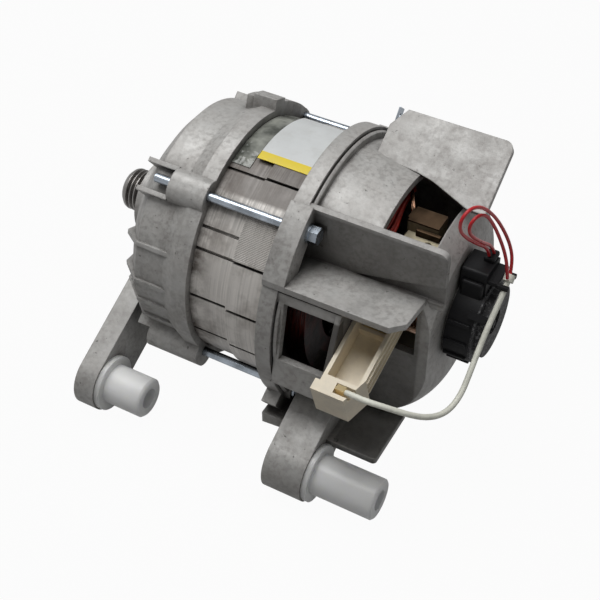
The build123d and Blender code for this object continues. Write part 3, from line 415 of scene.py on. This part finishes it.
class Finish:
    """A node material that is built up from noise layers on object coordinates."""

    def __init__(self, name, roughness=0.5, metallic=0.0):
        self.material = bpy.data.materials.new(name)
        self.material.use_nodes = True
        self.nodes = self.material.node_tree.nodes
        self.links = self.material.node_tree.links
        self.shader = self.nodes["Principled BSDF"]
        set_input(self.shader, "Roughness", roughness)
        set_input(self.shader, "Metallic", metallic)
        coordinates = self.nodes.new("ShaderNodeTexCoord")
        self.place = coordinates.outputs["Object"]
        self.normal = coordinates.outputs["Normal"]

    def connect(self, socket, name):
        """Links a socket to one of the shader's own."""
        self.links.new(socket, self.shader.inputs[name])

    def mapped(self, scale):
        """Object coordinates stretched along the axes."""
        mapping = self.nodes.new("ShaderNodeMapping")
        set_input(mapping, "Scale", scale)
        self.links.new(self.place, mapping.inputs["Vector"])
        return mapping.outputs["Vector"]

    def split(self, vector):
        """The X, Y and Z sockets of a vector."""
        node = self.nodes.new("ShaderNodeSeparateXYZ")
        self.links.new(vector, node.inputs[0])
        return node.outputs

    def noise(self, scale, detail=3.0, roughness=0.55, vector=None):
        """A noise value."""
        node = self.nodes.new("ShaderNodeTexNoise")
        set_input(node, "Scale", scale)
        set_input(node, "Detail", detail)
        set_input(node, "Roughness", roughness)
        self.links.new(vector if vector is not None else self.place, node.inputs["Vector"])
        return node.outputs["Fac"]

    def ramp(self, value, low, high, low_value=0.0, high_value=1.0):
        """A value mapped from one range to another."""
        node = self.nodes.new("ShaderNodeMapRange")
        set_input(node, "From Min", low)
        set_input(node, "From Max", high)
        set_input(node, "To Min", low_value)
        set_input(node, "To Max", high_value)
        self.links.new(value, node.inputs["Value"])
        return node.outputs["Result"]

    def cloud(self, scale, low, high, detail=3.0, roughness=0.55, low_value=0.0, high_value=1.0):
        """A noise that fades from one value to the other between two of its levels."""
        return self.ramp(self.noise(scale, detail, roughness), low, high, low_value, high_value)

    def mix(self, share, first, second):
        """Two colours mixed by the second one's share; each is a colour or a socket."""
        node = self.nodes.new("ShaderNodeMix")
        node.data_type = "RGBA"
        self.links.new(share, node.inputs["Factor"])
        for socket, source in ((node.inputs["A"], first), (node.inputs["B"], second)):
            if isinstance(source, bpy.types.NodeSocket):
                self.links.new(source, socket)
            else:
                socket.default_value = colour(source)
        return node.outputs["Result"]

    def tint(self, tone, share, other, strength):
        """A tone under another colour, which covers it up to the strength given."""
        return self.mix(self.ramp(share, 0.0, 1.0, 0.0, strength), tone, other)

    def uneven(self, marks, base, darkest, lightest, low=0.35):
        """A base colour that the marks make darker and lighter."""
        return self.mix(self.ramp(marks, low, 0.7), shade(base, darkest), shade(base, lightest))

    def bump(self, height, distance, strength=1.0):
        """A bump from a height, laid on what is there."""
        node = self.nodes.new("ShaderNodeBump")
        set_input(node, "Distance", distance)
        set_input(node, "Strength", strength)
        self.links.new(height, node.inputs["Height"])
        old = self.shader.inputs["Normal"].links
        if old:
            self.links.new(old[0].from_socket, node.inputs["Normal"])
        self.connect(node.outputs["Normal"], "Normal")

    def calculate(self, operation, first, second=None):
        """A sum on sockets or numbers."""
        node = self.nodes.new("ShaderNodeMath")
        node.operation = operation
        for socket, source in ((node.inputs[0], first), (node.inputs[1], second)):
            if isinstance(source, bpy.types.NodeSocket):
                self.links.new(source, socket)
            elif source is not None:
                socket.default_value = source
        return node.outputs[0]

    def both(self, first, second):
        """The product of two values: high where both are."""
        return self.calculate("MULTIPLY", first, second)

    def along_and_about(self):
        """The place along the motor axis, and the angle about it from +Y towards +Z in radians."""
        axes = self.split(self.place)
        return axes["X"], self.calculate("ARCTAN2", axes["Z"], axes["Y"])

    def facing(self):
        """How far the surface faces the connector's side, from -1 to 1."""
        return self.calculate("MULTIPLY", self.split(self.normal)["Y"], -1.0)

    def inside(self, low, high):
        """1 inside a box in millimetres, 0 outside, with an edge that fades over one millimetre."""
        axes = self.split(self.place)
        value = None
        for axis, first, last in zip("XYZ", low, high):
            for limit, side in ((first, 1), (last, -1)):
                near = limit * MM
                step = self.ramp(axes[axis], near - side * 0.5 * MM, near + side * 0.5 * MM)
                value = step if value is None else self.both(value, step)
        return value

    def patches(self, length, turn):
        """A steady random value for each patch of the stack, by its place along and about the axis."""
        along, about = self.along_and_about()
        row = self.calculate("FLOOR", self.calculate("DIVIDE", about, turn))
        jump = self.nodes.new("ShaderNodeTexWhiteNoise")
        jump.noise_dimensions = "1D"
        self.links.new(row, jump.inputs["W"])
        shifted = self.calculate("ADD", self.calculate("DIVIDE", along, length), jump.outputs["Value"])
        cell = self.nodes.new("ShaderNodeCombineXYZ")
        self.links.new(row, cell.inputs["X"])
        self.links.new(self.calculate("FLOOR", shifted), cell.inputs["Y"])
        tone = self.nodes.new("ShaderNodeTexWhiteNoise")
        tone.noise_dimensions = "2D"
        self.links.new(cell.outputs["Vector"], tone.inputs["Vector"])
        return tone.outputs["Value"]

    def rounded(self, radius):
        """Softens the edges' normals and returns where the edges are."""
        bevel = self.nodes.new("ShaderNodeBevel")
        bevel.samples = 4
        set_input(bevel, "Radius", radius)
        self.connect(bevel.outputs["Normal"], "Normal")
        flat = self.nodes.new("ShaderNodeNewGeometry")
        dot = self.nodes.new("ShaderNodeVectorMath")
        dot.operation = "DOT_PRODUCT"
        self.links.new(bevel.outputs["Normal"], dot.inputs[0])
        self.links.new(flat.outputs["True Normal"], dot.inputs[1])
        return self.ramp(dot.outputs["Value"], 0.97, 0.80)

    def recess(self, distance, low, high):
        """How sheltered the surface is by walls within the distance: 0 in the open, 1 deep inside."""
        node = self.nodes.new("ShaderNodeAmbientOcclusion")
        node.samples = 6
        set_input(node, "Distance", distance)
        return self.ramp(node.outputs["AO"], high, low)

    def dull(self, cover, dullest):
        """Takes the shine off where something covers the surface."""
        self.connect(self.ramp(cover, 0.0, 1.0, 0.5, dullest), "Specular IOR Level")

    def dusty_and_shaded(self, tone, reach=0.05):
        """The colour with carbon dust and painted shade, which darken the recesses inside the motor."""
        dust_and_shade = self.ramp(self.recess(reach, *DUST_AND_SHADE_LEVELS), 0.0, 1.0, 0.0, 0.95)
        self.dull(dust_and_shade, 0.02)
        return self.mix(dust_and_shade, tone, CARBON_DUST_AND_SHADE)

    def paint(self, socket):
        """The shader's base colour."""
        self.connect(socket, "Base Color")

    def rough(self, value, low, high, low_roughness, high_roughness):
        """The shader's roughness, which follows a value."""
        self.connect(self.ramp(value, low, high, low_roughness, high_roughness), "Roughness")


def cast_skin(finish, cloudy, grain):
    """The tone of a clean raw casting: flow marks, clouds, grain and mottling."""
    look = finish_values()
    tone = finish.mix(finish.cloud(*FLOW_MARKS), shade(look.casting, 0.84), shade(look.casting, 1.10))
    tone = finish.tint(tone, cloudy, look.casting_warm, 0.5)
    speck = finish.cloud(grain * 0.55, 0.3, 0.7, 4, 0.7)
    tone = finish.tint(tone, speck, shade(look.casting, 1.4), 0.20)
    mottle = finish.both(finish.cloud(*CAST_MOTTLE), finish.cloud(*MOTTLE_SPREAD, low_value=0.25))
    return finish.tint(tone, mottle, shade(look.casting_warm, 0.55), 0.42)


def casting_finish(name, dirt, side_shade, places=()):
    """Raw die cast aluminium: flow marks, grain, pits, dust stains, and painted highlight on rubbed edges.

    Painted shade darkens recesses, creases and the faces towards the connector's side.
    A place is a box in millimetres and how far painted shade covers it."""
    look = finish_values()
    dark = look.casting_dark
    finish = Finish(name, metallic=0.25)
    edge = finish.rounded(look.edge_radius)
    grain = 1.0 / look.grain
    cloudy = finish.cloud(*CAST_CLOUDS)
    tone = cast_skin(finish, cloudy, grain)
    tone = finish.mix(finish.cloud(*CAST_STAINS, high_value=dirt), tone, dark)
    tone = finish.mix(finish.cloud(*CAST_PITS, high_value=0.75), tone, shade(dark, 0.5))
    # Rubbed wear and a painted highlight along the edges
    worn_and_lit = finish.both(edge, finish.cloud(*EDGE_WEAR_AND_HIGHLIGHT))
    tone = finish.tint(tone, worn_and_lit, RUBBED_AND_LIT_EDGE, 0.6)
    # Painted shade: the faces towards the connector's side (-Y) are darkened
    film = finish.ramp(finish.facing(), 0.35, 0.9, 0.0, side_shade)
    tone = finish.mix(film, tone, shade(dark, 0.9))
    # Painted shade in patches on the jamb, the upright wall and the inside of the connector's bay
    for low, high, cover in places:
        shade_patch = finish.cloud(*SHADE_PATCHES, low_value=cover * 0.8, high_value=cover)
        tone = finish.mix(finish.both(finish.inside(low, high), shade_patch), tone, shade(dark, 0.45))
    # Painted shade: recesses are darkened, and their shine is taken off
    recess_shade = finish.ramp(finish.recess(*RECESS_SHADE), 0.0, 1.0, 0.0, 0.92)
    tone = finish.mix(recess_shade, tone, shade(dark, 0.35))
    # Painted shade in the creases between parts, in patches
    crease_shade = finish.both(finish.recess(*CREASE_SHADE), finish.cloud(*CREASE_SHADE_PATCHES, low_value=0.35))
    finish.paint(finish.tint(tone, crease_shade, shade(dark, 0.6), 0.8))
    finish.dull(recess_shade, 0.05)
    finish.rough(cloudy, 0.0, 1.0, 0.44, 0.64)
    finish.bump(finish.noise(grain, 4, 0.7), 0.00014, 0.6)
    finish.bump(finish.noise(120, 3), 0.0006, 0.35)


def stack_finish(name):
    """The edges of the stacked sheets: fine rings, fine ridges along the step, spots that darken towards
    the drive ring, varnish, and painted light on the faces towards the connector's side.
    """
    look = finish_values()
    finish = Finish(name, metallic=0.3)
    along, about = finish.along_and_about()
    sheets = finish.noise(1.0, 2, 0.5, finish.mapped(SHEET_RINGS))
    patch = finish.patches(look.patch_length, look.patch_angle)
    band = finish.noise(1.0, 3, 0.6, finish.mapped(SHEET_BANDS))
    tone = finish.mix(patch, shade(look.lamination, 0.86), shade(look.lamination, 1.10))
    line = finish.both(finish.ramp(sheets, 0.40, 0.58, 1.0, 0.0), finish.ramp(patch, 0.0, 1.0, 0.28, 0.75))
    tone = finish.mix(line, tone, shade(look.lamination, 0.40))
    tone = finish.mix(finish.ramp(band, 0.45, 0.75, 0.0, 0.25), tone, shade(look.lamination, 0.6))
    step = finish.both(finish.ramp(along, *STEP_ALONG), finish.ramp(about, *STEP_FIRST))
    step = finish.both(step, finish.ramp(about, *STEP_LAST))
    wave = finish.calculate("SINE", finish.calculate("MULTIPLY", about, RIDGE_WAVE))
    ridge = finish.both(step, finish.ramp(wave, -0.5, 0.8))
    tone = finish.tint(tone, ridge, RIDGE_GAP, 0.6)
    varnish = finish.both(finish.ramp(about, *VARNISH_LAST), finish.ramp(about, *VARNISH_FIRST))
    coat = finish.both(varnish, finish.cloud(*VARNISH_CLOUDS, low_value=0.74, high_value=0.96))
    tone = finish.mix(coat, tone, STACK_VARNISH)
    finish.connect(finish.ramp(coat, 0.0, 1.0, 0.3, 0.0), "Metallic")
    # Painted light: the faces towards the connector's side (-Y) are lightened
    tone = finish.mix(finish.ramp(finish.facing(), 0.3, 1.0, 0.0, 0.5), tone, shade(look.lamination, 1.6))
    tone = finish.mix(finish.cloud(*WARM_CLOUDS, high_value=0.4), tone, WARM_SHEETS)
    # Spots that grow darker towards the drive ring's edge
    dark_spot = finish.both(finish.ramp(along, *DARK_SPOT_ALONG), finish.cloud(*DARK_SPOTS))
    tone = finish.tint(tone, dark_spot, STACK_DARK_SPOT, 0.85)
    tone = finish.mix(finish.cloud(*STACK_STAINS, high_value=0.6), tone, STACK_STAIN)
    finish.paint(finish.dusty_and_shaded(tone))
    finish.rough(band, 0.3, 0.7, 0.36, 0.55)
    finish.bump(sheets, 0.00025, 0.6)
    finish.bump(ridge, 0.0004, 0.8)


def metal_finish(name, base, roughness, spread):
    """Machined or plated metal with fine grain and smudges."""
    finish = Finish(name, metallic=1.0)
    smudge = finish.noise(160, 4, 0.6)
    finish.paint(finish.dusty_and_shaded(finish.uneven(smudge, base, 1 - spread, 1 + spread, 0.3)))
    finish.rough(smudge, 0.3, 0.7, roughness * 0.8, roughness * 1.3)
    finish.bump(finish.noise(900, 3), 0.00002, 0.25)


def plastic_finish(name, base, roughness, spread=0.1, specular=0.5):
    """Moulded plastic with a fine grain and slight handling marks."""
    finish = Finish(name)
    set_input(finish.shader, "Specular IOR Level", specular)
    marks = finish.noise(120, 5, 0.6)
    finish.paint(finish.uneven(marks, base, 1 - spread, 1 + spread))
    finish.rough(marks, 0.3, 0.7, roughness * 0.85, roughness * 1.15)
    finish.bump(finish.noise(1400, 3, 0.6), 0.00006, 0.5)


def nylon_finish(name):
    """Translucent white nylon."""
    finish = Finish(name, roughness=0.32)
    set_input(finish.shader, "Subsurface Weight", 0.8)
    set_input(finish.shader, "Subsurface Radius", (0.010, 0.010, 0.011))
    set_input(finish.shader, "Subsurface Scale", 1.0)
    finish.paint(finish.uneven(finish.noise(70, 3), finish_values().nylon, 0.96, 1.02))
    finish.bump(finish.noise(500, 2), 0.00008, 0.3)


def winding_finish(name):
    """Varnished copper wire: bundled strands with dark gaps."""
    finish = Finish(name, roughness=0.35)
    set_input(finish.shader, "Specular IOR Level", 0.2)
    strands = finish.noise(1.0, 2, 0.5, finish.mapped(WIRE_STRANDS))
    tone = finish.mix(finish.ramp(strands, 0.38, 0.62), WIRE_GAP, WIRE_ENAMEL)
    tone = finish.mix(finish.cloud(*BAKED_PATCHES, high_value=0.6), tone, BAKED_VARNISH)
    finish.paint(finish.dusty_and_shaded(tone, 0.06))
    finish.bump(strands, 0.0006, 0.9)


def pulley_finish(name):
    """Turned dark steel with fine turning marks."""
    finish = Finish(name, metallic=1.0)
    marks = finish.noise(1.0, 2, 0.5, finish.mapped(TURNING_MARKS))
    finish.paint(finish.mix(finish.ramp(marks, 0.3, 0.7), PULLEY_GROOVE, PULLEY_MARK))
    finish.rough(finish.noise(300, 3), 0.3, 0.7, 0.22, 0.42)


def mottled_finish(name):
    """Grey moulding with pale flecks."""
    finish = Finish(name, roughness=0.6)
    set_input(finish.shader, "Specular IOR Level", 0.3)
    fleck = finish.noise(520, 5, 0.75)
    finish.paint(finish.mix(finish.ramp(fleck, 0.50, 0.66), DISC_GREY, DISC_FLECK))
    finish.bump(fleck, 0.0002, 0.5)


def film_finish(name):
    """Crumpled dark film."""
    finish = Finish(name, roughness=0.18)
    fold = finish.noise(75, 3, 0.6)
    # Painted sheen: the folds are lightened
    finish.paint(finish.mix(finish.ramp(fold, 0.35, 0.65), FILM_FOLD, FILM_SHEEN))
    finish.bump(fold, 0.002, 0.8)


def label_finish(name):
    """The rating label, left bare, with its coloured stripe along the lower edge."""
    look = finish_values()
    finish = Finish(name, roughness=0.34)
    about = finish.along_and_about()[1]
    stripe = finish.ramp(about, look.stripe_angle, look.stripe_angle + STRIPE_FADE)
    tone = finish.uneven(finish.noise(60, 3), LABEL_PAPER, 0.94, 1.04)
    tone = finish.mix(stripe, tone, look.stripe)
    finish.paint(finish.mix(finish.cloud(*LABEL_MARKS, high_value=0.25), tone, LABEL_DIRT))
    finish.bump(finish.noise(60, 2), 0.0004, 0.35)


def lead_finish(name, base, roughness):
    """Wire insulation with faint marks along the lead."""
    finish = Finish(name)
    marks = finish.noise(220, 3, 0.6)
    finish.paint(finish.uneven(marks, base, 0.86, 1.08))
    finish.rough(marks, 0.3, 0.7, roughness * 0.8, roughness * 1.2)
    finish.bump(finish.noise(900, 2), 0.00006, 0.4)


def make_finishes():
    """Makes all the motor's materials."""
    look = finish_values()
    # The third value is how strongly painted shade darkens the faces towards the connector's side
    casting_finish("casting", 0.4, 0.08)
    casting_finish("casting_rear", 0.6, 0.28, SHADED_PLACES)
    stack_finish("stack")
    winding_finish("winding")
    pulley_finish("pulley")
    mottled_finish("mottled")
    nylon_finish("nylon")
    label_finish("label")
    film_finish("film")
    plastic_finish("black", look.black, 0.5, specular=0.18)
    plastic_finish("cream", look.cream, 0.42)
    for name, values in METALS.items():
        metal_finish(name, *values)
    for name, values in PLASTICS.items():
        plastic_finish(name, *values)
    for name, values in INSULATIONS.items():
        lead_finish(name, *values)


def dress(piece, finish):
    """Gives a piece one material."""
    piece.data.materials.clear()
    piece.data.materials.append(bpy.data.materials[finish])


class MOTOR_OT_finishes(bpy.types.Operator):
    """Makes the materials and gives them to the CAD nodes"""

    bl_idname = "motor.finishes"
    bl_label = "Finishes"

    def execute(self, context):
        make_finishes()
        for finish, nodes in NODE_FINISHES.items():
            for node in nodes:
                dress(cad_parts[node], finish)
        return {"FINISHED"}


def select_only(piece):
    """Selects one piece and makes it the active one."""
    bpy.ops.object.select_all(action="DESELECT")
    piece.select_set(True)
    bpy.context.view_layer.objects.active = piece


def wire_curve(name, radius, fineness):
    """An empty curve of round wire with closed ends."""
    curve = bpy.data.curves.new(name, "CURVE")
    curve.dimensions = "3D"
    curve.bevel_depth = radius
    curve.bevel_resolution, curve.resolution_u = fineness
    curve.use_fill_caps = True
    return curve


def add_strand(curve, places):
    """Lays one smooth strand along its control points, in metres."""
    strand = curve.splines.new("NURBS")
    strand.points.add(len(places) - 1)
    for point, place in zip(strand.points, places):
        point.co = (*place, 1.0)
    strand.order_u = 3
    strand.use_endpoint_u = True


def curve_piece(curve, finish):
    """Puts a curve into the scene with its finish."""
    piece = bpy.data.objects.new(curve.name, curve)
    bpy.context.scene.collection.objects.link(piece)
    dress(piece, finish)
    return piece


def curve_mesh(curve, finish):
    """A curve made a smooth mesh."""
    select_only(curve_piece(curve, finish))
    bpy.ops.object.convert(target="MESH")
    bpy.ops.object.shade_smooth()
    bpy.ops.object.select_all(action="DESELECT")
    return bpy.context.view_layer.objects.active


class MOTOR_OT_leads(bpy.types.Operator):
    """Lays the white sleeve and the two red leads"""

    bl_idname = "motor.leads"
    bl_label = "Leads"

    def execute(self, context):
        sizes = context.scene.motor_leads
        white, red = sizes.white_radius, sizes.red_radius
        table = (
            ("white_sleeve", WHITE_ROUTE, white, "sleeve", "white_lead", "white_insulation",
             sizes.white_length),
            ("red_loop_outer", RED_ROUTE_OUTER, red, "red_lead", "red_lead_outer", "red_insulation",
             sizes.red_outer_length),
            ("red_loop_inner", RED_ROUTE_INNER, red, "red_lead", "red_lead_inner", "red_insulation",
             sizes.red_inner_length),
        )
        for name, route, radius, finish, node, slot, length in table:
            curve = wire_curve(name, radius, LEAD_FINENESS)
            places = [metres(place) for place in route]
            add_strand(curve, places)
            lead = curve_piece(curve, finish)
            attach(lead, "root")
            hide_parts(node)
        return {"FINISHED"}


def helix(name, base, radius, wire, rise, turns, side, finish):
    """A coil spring along Z, as a mesh: side is 1 where it rises from its base, -1 where it hangs."""
    curve = wire_curve(name, wire, SPRING_FINENESS)
    steps = turns * POINTS_PER_TURN
    places = []
    for i in range(steps + 1):
        turn = math.tau * i / POINTS_PER_TURN
        lift = wire + (rise - 2 * wire) * i / steps
        places.append((base[0] + radius * math.cos(turn), base[1] + radius * math.sin(turn),
                       base[2] + side * lift))
    add_strand(curve, places)
    return curve_mesh(curve, finish)


class MOTOR_OT_springs(bpy.types.Operator):
    """Winds the two brush springs"""

    bl_idname = "motor.springs"
    bl_label = "Brush springs"

    def execute(self, context):
        sizes = context.scene.motor_springs
        for side_name, side in (("upper", 1), ("lower", -1)):
            low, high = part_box("brush_spring_" + side_name)
            near, far = (low, high) if side > 0 else (high, low)
            middle = ((low[0] + high[0]) / 2, (low[1] + high[1]) / 2)
            spring = helix("wound_spring_" + side_name, (*middle, near[2]), sizes.coil_radius,
                           sizes.wire_radius, high[2] - low[2], sizes.turns, side, "spring")
            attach(spring, "root")
            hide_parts("brush_spring_" + side_name)
            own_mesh(spring)
        return {"FINISHED"}


def strand_bundle(name, route, bundle, finish):
    """A ring of wires and one in its middle that follow a route side by side, as one mesh."""
    wire, ring, count = bundle
    curve = wire_curve(name, wire * MM, BUNDLE_FINENESS)
    angles = [math.tau * i / count for i in range(count)]
    offsets = [(ring * MM * math.cos(angle), ring * MM * math.sin(angle)) for angle in angles]
    for across, up in offsets + [(0.0, 0.0)]:
        places = []
        for i, (x, y, z) in enumerate(map(metres, route)):
            turn = BUNDLE_TWIST * i
            along = across * math.cos(turn) - up * math.sin(turn)
            lift = across * math.sin(turn) + up * math.cos(turn)
            places.append((x + along, y + BUNDLE_LEAN * lift, z + lift))
        add_strand(curve, places)
    return curve_mesh(curve, finish)


class MOTOR_OT_wiring(bpy.types.Operator):
    """Lays the crossing leads of the field coils and the upper brush's copper lead"""

    bl_idname = "motor.wiring"
    bl_label = "Inner wiring"

    def execute(self, context):
        crossing = strand_bundle("coil_crossing", CROSSING_ROUTE, CROSSING_BUNDLE, "crossing")
        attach(crossing, "root")
        lead = strand_bundle("brush_lead_upper", BRUSH_LEAD_ROUTE, BRUSH_LEAD_BUNDLE, "bright_copper")
        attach(lead, "root")
        return {"FINISHED"}


def soft_block(name, low, high, edge, finish):
    """A moulded block between two corners in millimetres, with rounded edges."""
    middle = [(first + last) / 2 * MM for first, last in zip(low, high)]
    bpy.ops.mesh.primitive_cube_add(size=1.0, location=middle)
    piece = bpy.context.active_object
    piece.name = name
    piece.scale = [(last - first) * MM for first, last in zip(low, high)]
    bpy.ops.object.transform_apply(location=True, rotation=True, scale=True)
    bevel = piece.modifiers.new("edges", "BEVEL")
    bevel.width = edge * MM
    bevel.segments = 3
    bpy.ops.object.modifier_apply(modifier="edges")
    dress(piece, finish)
    return piece


def pierce(piece, radius, place, depth, tilt=0.0):
    """Cuts a round hole, all in millimetres, along Z tilted about Y."""
    bpy.ops.mesh.primitive_cylinder_add(vertices=HOLE_SIDES, radius=radius * MM, depth=depth * MM,
                                        location=metres(place), rotation=(0.0, tilt, 0.0))
    tool = bpy.context.active_object
    select_only(piece)
    cut = piece.modifiers.new("hole", "BOOLEAN")
    cut.operation = "DIFFERENCE"
    cut.object = tool
    bpy.ops.object.modifier_apply(modifier="hole")
    bpy.data.objects.remove(tool)


def turn_about_axis(piece, turn):
    """Turns a piece that is drawn at +Y about the motor axis, in its mesh."""
    select_only(piece)
    piece.rotation_euler = (turn, 0.0, 0.0)
    bpy.ops.object.transform_apply(location=True, rotation=True, scale=True)


class MOTOR_OT_brush_card(bpy.types.Operator):
    """Models the cream card beside the upper brush holder, with its hole and its upright bar"""

    bl_idname = "motor.brush_card"
    bl_label = "Brush card"

    def execute(self, context):
        card = soft_block("brush_card_plate", *CARD_PLATE, "card")
        pierce(card, *CARD_HOLE)
        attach(card, "root")
        # The bar wears brass darkened into painted shade
        bar = soft_block("brush_card_bar", *CARD_BAR, "brass_shaded")
        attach(bar, "root")
        bpy.ops.object.select_all(action="DESELECT")
        return {"FINISHED"}


class MOTOR_OT_tacho_trim(bpy.types.Operator):
    """Models the tacho's grommet, lead clip, shoulders and the ribs round its housing"""

    bl_idname = "motor.tacho_trim"
    bl_label = "Tacho trim"

    def execute(self, context):
        trim = context.scene.motor_trim
        pieces = [soft_block(name, *block, "black") for name, block in TACHO_BLOCKS.items()]
        for i in range(trim.rib_count):
            rib = soft_block("tacho_rib_" + str(i + 1), *TACHO_RIB, "black")
            turn_about_axis(rib, trim.rib_start + i * trim.rib_turn)
            pieces.append(rib)
        for piece in pieces:
            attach(piece, "root")
        bpy.ops.object.select_all(action="DESELECT")
        return {"FINISHED"}


def tab_blade(name, first, last, half, top, hole):
    """One pierced blade of the earth tab, drawn at +Y between two places on the axis, in millimetres."""
    blade = soft_block(name, (first, TAB_BASE, -half), (last, top, half), TAB_EDGE, "zinc")
    pierce(blade, TAB_HOLE, ((first + last) / 2, hole, 0.0), TAB_CUT, math.radians(90.0))
    return blade


class MOTOR_OT_earth_tab(bpy.types.Operator):
    """Models the earth terminal: the pierced blade, its foot and its short second blade"""

    bl_idname = "motor.earth_tab"
    bl_label = "Earth tab"

    def execute(self, context):
        trim = context.scene.motor_trim
        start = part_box("earth_tab")[0][0] / MM
        half = trim.tab_width / MM / 2
        blade = tab_blade("earth_blade", start, start + TAB_SHEET, half, BLADE_TOP, BLADE_HOLE)
        foot = soft_block("earth_foot", (start, TAB_BASE, -half),
                          (start + TAB_FOOT, TAB_BASE + TAB_SHEET, half), TAB_EDGE, "zinc")
        short = tab_blade("earth_short_blade", start + SHORT_BLADE_START, start + TAB_FOOT, half,
                          SHORT_BLADE_TOP, SHORT_BLADE_HOLE)
        for piece in (blade, foot, short):
            turn_about_axis(piece, trim.tab_angle)
            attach(piece, "root")
        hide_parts("earth_tab")
        bpy.ops.object.select_all(action="DESELECT")
        return {"FINISHED"}


def soft_lamp(name, place, size, power):
    """An area lamp that looks at the motor."""
    data = bpy.data.lights.new(name, "AREA")
    data.energy = power
    data.size = size
    lamp = bpy.data.objects.new(name, data)
    lamp.location = place
    lamp.rotation_euler = (-Vector(place)).to_track_quat("-Z", "Y").to_euler()
    bpy.context.scene.collection.objects.link(lamp)


def backdrop_seen(tree):
    """How much of its own white a backdrop shows: all to the camera, a share in reflections."""
    path = tree.nodes.new("ShaderNodeLightPath")
    seen = tree.nodes.new("ShaderNodeMath")
    seen.operation = "MULTIPLY_ADD"
    set_input(seen, 1, REFLECTED_SHARE)
    tree.links.new(path.outputs["Is Glossy Ray"], seen.inputs[0])
    tree.links.new(path.outputs["Is Camera Ray"], seen.inputs[2])
    return seen.outputs[0]


def floor_material():
    """A pale floor that is white to the camera apart from the motor's soft shadow."""
    material = bpy.data.materials.new("floor")
    material.use_nodes = True
    tree = material.node_tree
    shader = tree.nodes["Principled BSDF"]
    set_input(shader, "Base Color", colour(FLOOR_GREY))
    set_input(shader, "Roughness", 0.9)
    glow = tree.nodes.new("ShaderNodeEmission")
    set_input(glow, "Strength", 1.0)
    scale = tree.nodes.new("ShaderNodeMath")
    scale.operation = "MULTIPLY"
    set_input(scale, 1, FLOOR_WHITE)
    tree.links.new(backdrop_seen(tree), scale.inputs[0])
    mix = tree.nodes.new("ShaderNodeMixShader")
    tree.links.new(scale.outputs[0], mix.inputs["Fac"])
    tree.links.new(shader.outputs["BSDF"], mix.inputs[1])
    tree.links.new(glow.outputs["Emission"], mix.inputs[2])
    tree.links.new(mix.outputs["Shader"], tree.nodes["Material Output"].inputs["Surface"])
    return material


def add_camera(view):
    """The camera, at the place and turn that were fitted to the photograph."""
    data = bpy.data.cameras.new("camera")
    data.sensor_width = 36.0
    data.lens = view.lens
    data.clip_start = 0.01
    camera = bpy.data.objects.new("camera", data)
    camera.location = view.camera_place
    camera.rotation_euler = view.camera_turn
    bpy.context.scene.collection.objects.link(camera)
    bpy.context.scene.camera = camera


def add_world(view):
    """Even light from all round, with a white backdrop for the camera."""
    world = bpy.data.worlds.new("studio")
    bpy.context.scene.world = world
    world.use_nodes = True
    tree = world.node_tree
    background = tree.nodes["Background"]
    set_input(background, "Color", (1.0, 1.0, 1.0, 1.0))
    level = tree.nodes.new("ShaderNodeMapRange")
    set_input(level, "To Min", view.world_level)
    set_input(level, "To Max", WORLD_WHITE)
    tree.links.new(backdrop_seen(tree), level.inputs["Value"])
    tree.links.new(level.outputs["Result"], background.inputs["Strength"])


class MOTOR_OT_stage(bpy.types.Operator):
    """Sets the camera, the lamps, the world and the floor"""

    bl_idname = "motor.stage"
    bl_label = "Stage"

    def execute(self, context):
        view = context.scene.motor_view
        add_camera(view)
        context.scene.view_settings.view_transform = "Standard"
        for name, (place, size, share) in LAMPS.items():
            soft_lamp(name, place, size, view.lamp_level * share)
        add_world(view)
        bpy.ops.mesh.primitive_plane_add(size=FLOOR_SIZE, location=(0.0, 0.0, cad_box[0][2]))
        floor = context.active_object
        floor.name = "floor"
        floor.data.materials.append(floor_material())
        bpy.ops.object.select_all(action="DESELECT")
        return {"FINISHED"}


class MOTOR_PT_sidebar(bpy.types.Panel):
    """Lists the motor's making steps"""

    bl_idname = "MOTOR_PT_sidebar"
    bl_label = "Motor"
    bl_space_type = "VIEW_3D"
    bl_region_type = "UI"
    bl_category = "Motor"

    def draw(self, context):
        for step in STEPS:
            self.layout.operator(step.bl_idname)


SETTINGS = (("motor_finish", MotorFinish), ("motor_leads", MotorLeads), ("motor_springs", MotorSprings),
            ("motor_trim", MotorTrim), ("motor_view", MotorView))
STEPS = (MOTOR_OT_stage, MOTOR_OT_finishes, MOTOR_OT_leads, MOTOR_OT_springs, MOTOR_OT_wiring,
         MOTOR_OT_brush_card, MOTOR_OT_tacho_trim, MOTOR_OT_earth_tab)


def register():
    """Registers the settings, the steps and the panel."""
    for name, group in SETTINGS:
        bpy.utils.register_class(group)
        setattr(bpy.types.Scene, name, bpy.props.PointerProperty(type=group))
    for step in STEPS:
        bpy.utils.register_class(step)
    bpy.utils.register_class(MOTOR_PT_sidebar)


def unregister():
    """Takes the panel, the steps and the settings out again."""
    bpy.utils.unregister_class(MOTOR_PT_sidebar)
    for step in reversed(STEPS):
        bpy.utils.unregister_class(step)
    for name, group in reversed(SETTINGS):
        delattr(bpy.types.Scene, name)
        bpy.utils.unregister_class(group)


def main():
    """Makes the motor's looks step by step."""
    register()
    bpy.ops.motor.stage()
    bpy.ops.motor.finishes()
    bpy.ops.motor.leads()
    bpy.ops.motor.springs()
    bpy.ops.motor.wiring()
    bpy.ops.motor.brush_card()
    bpy.ops.motor.tacho_trim()
    bpy.ops.motor.earth_tab()


if __name__ == "__main__":
    main()
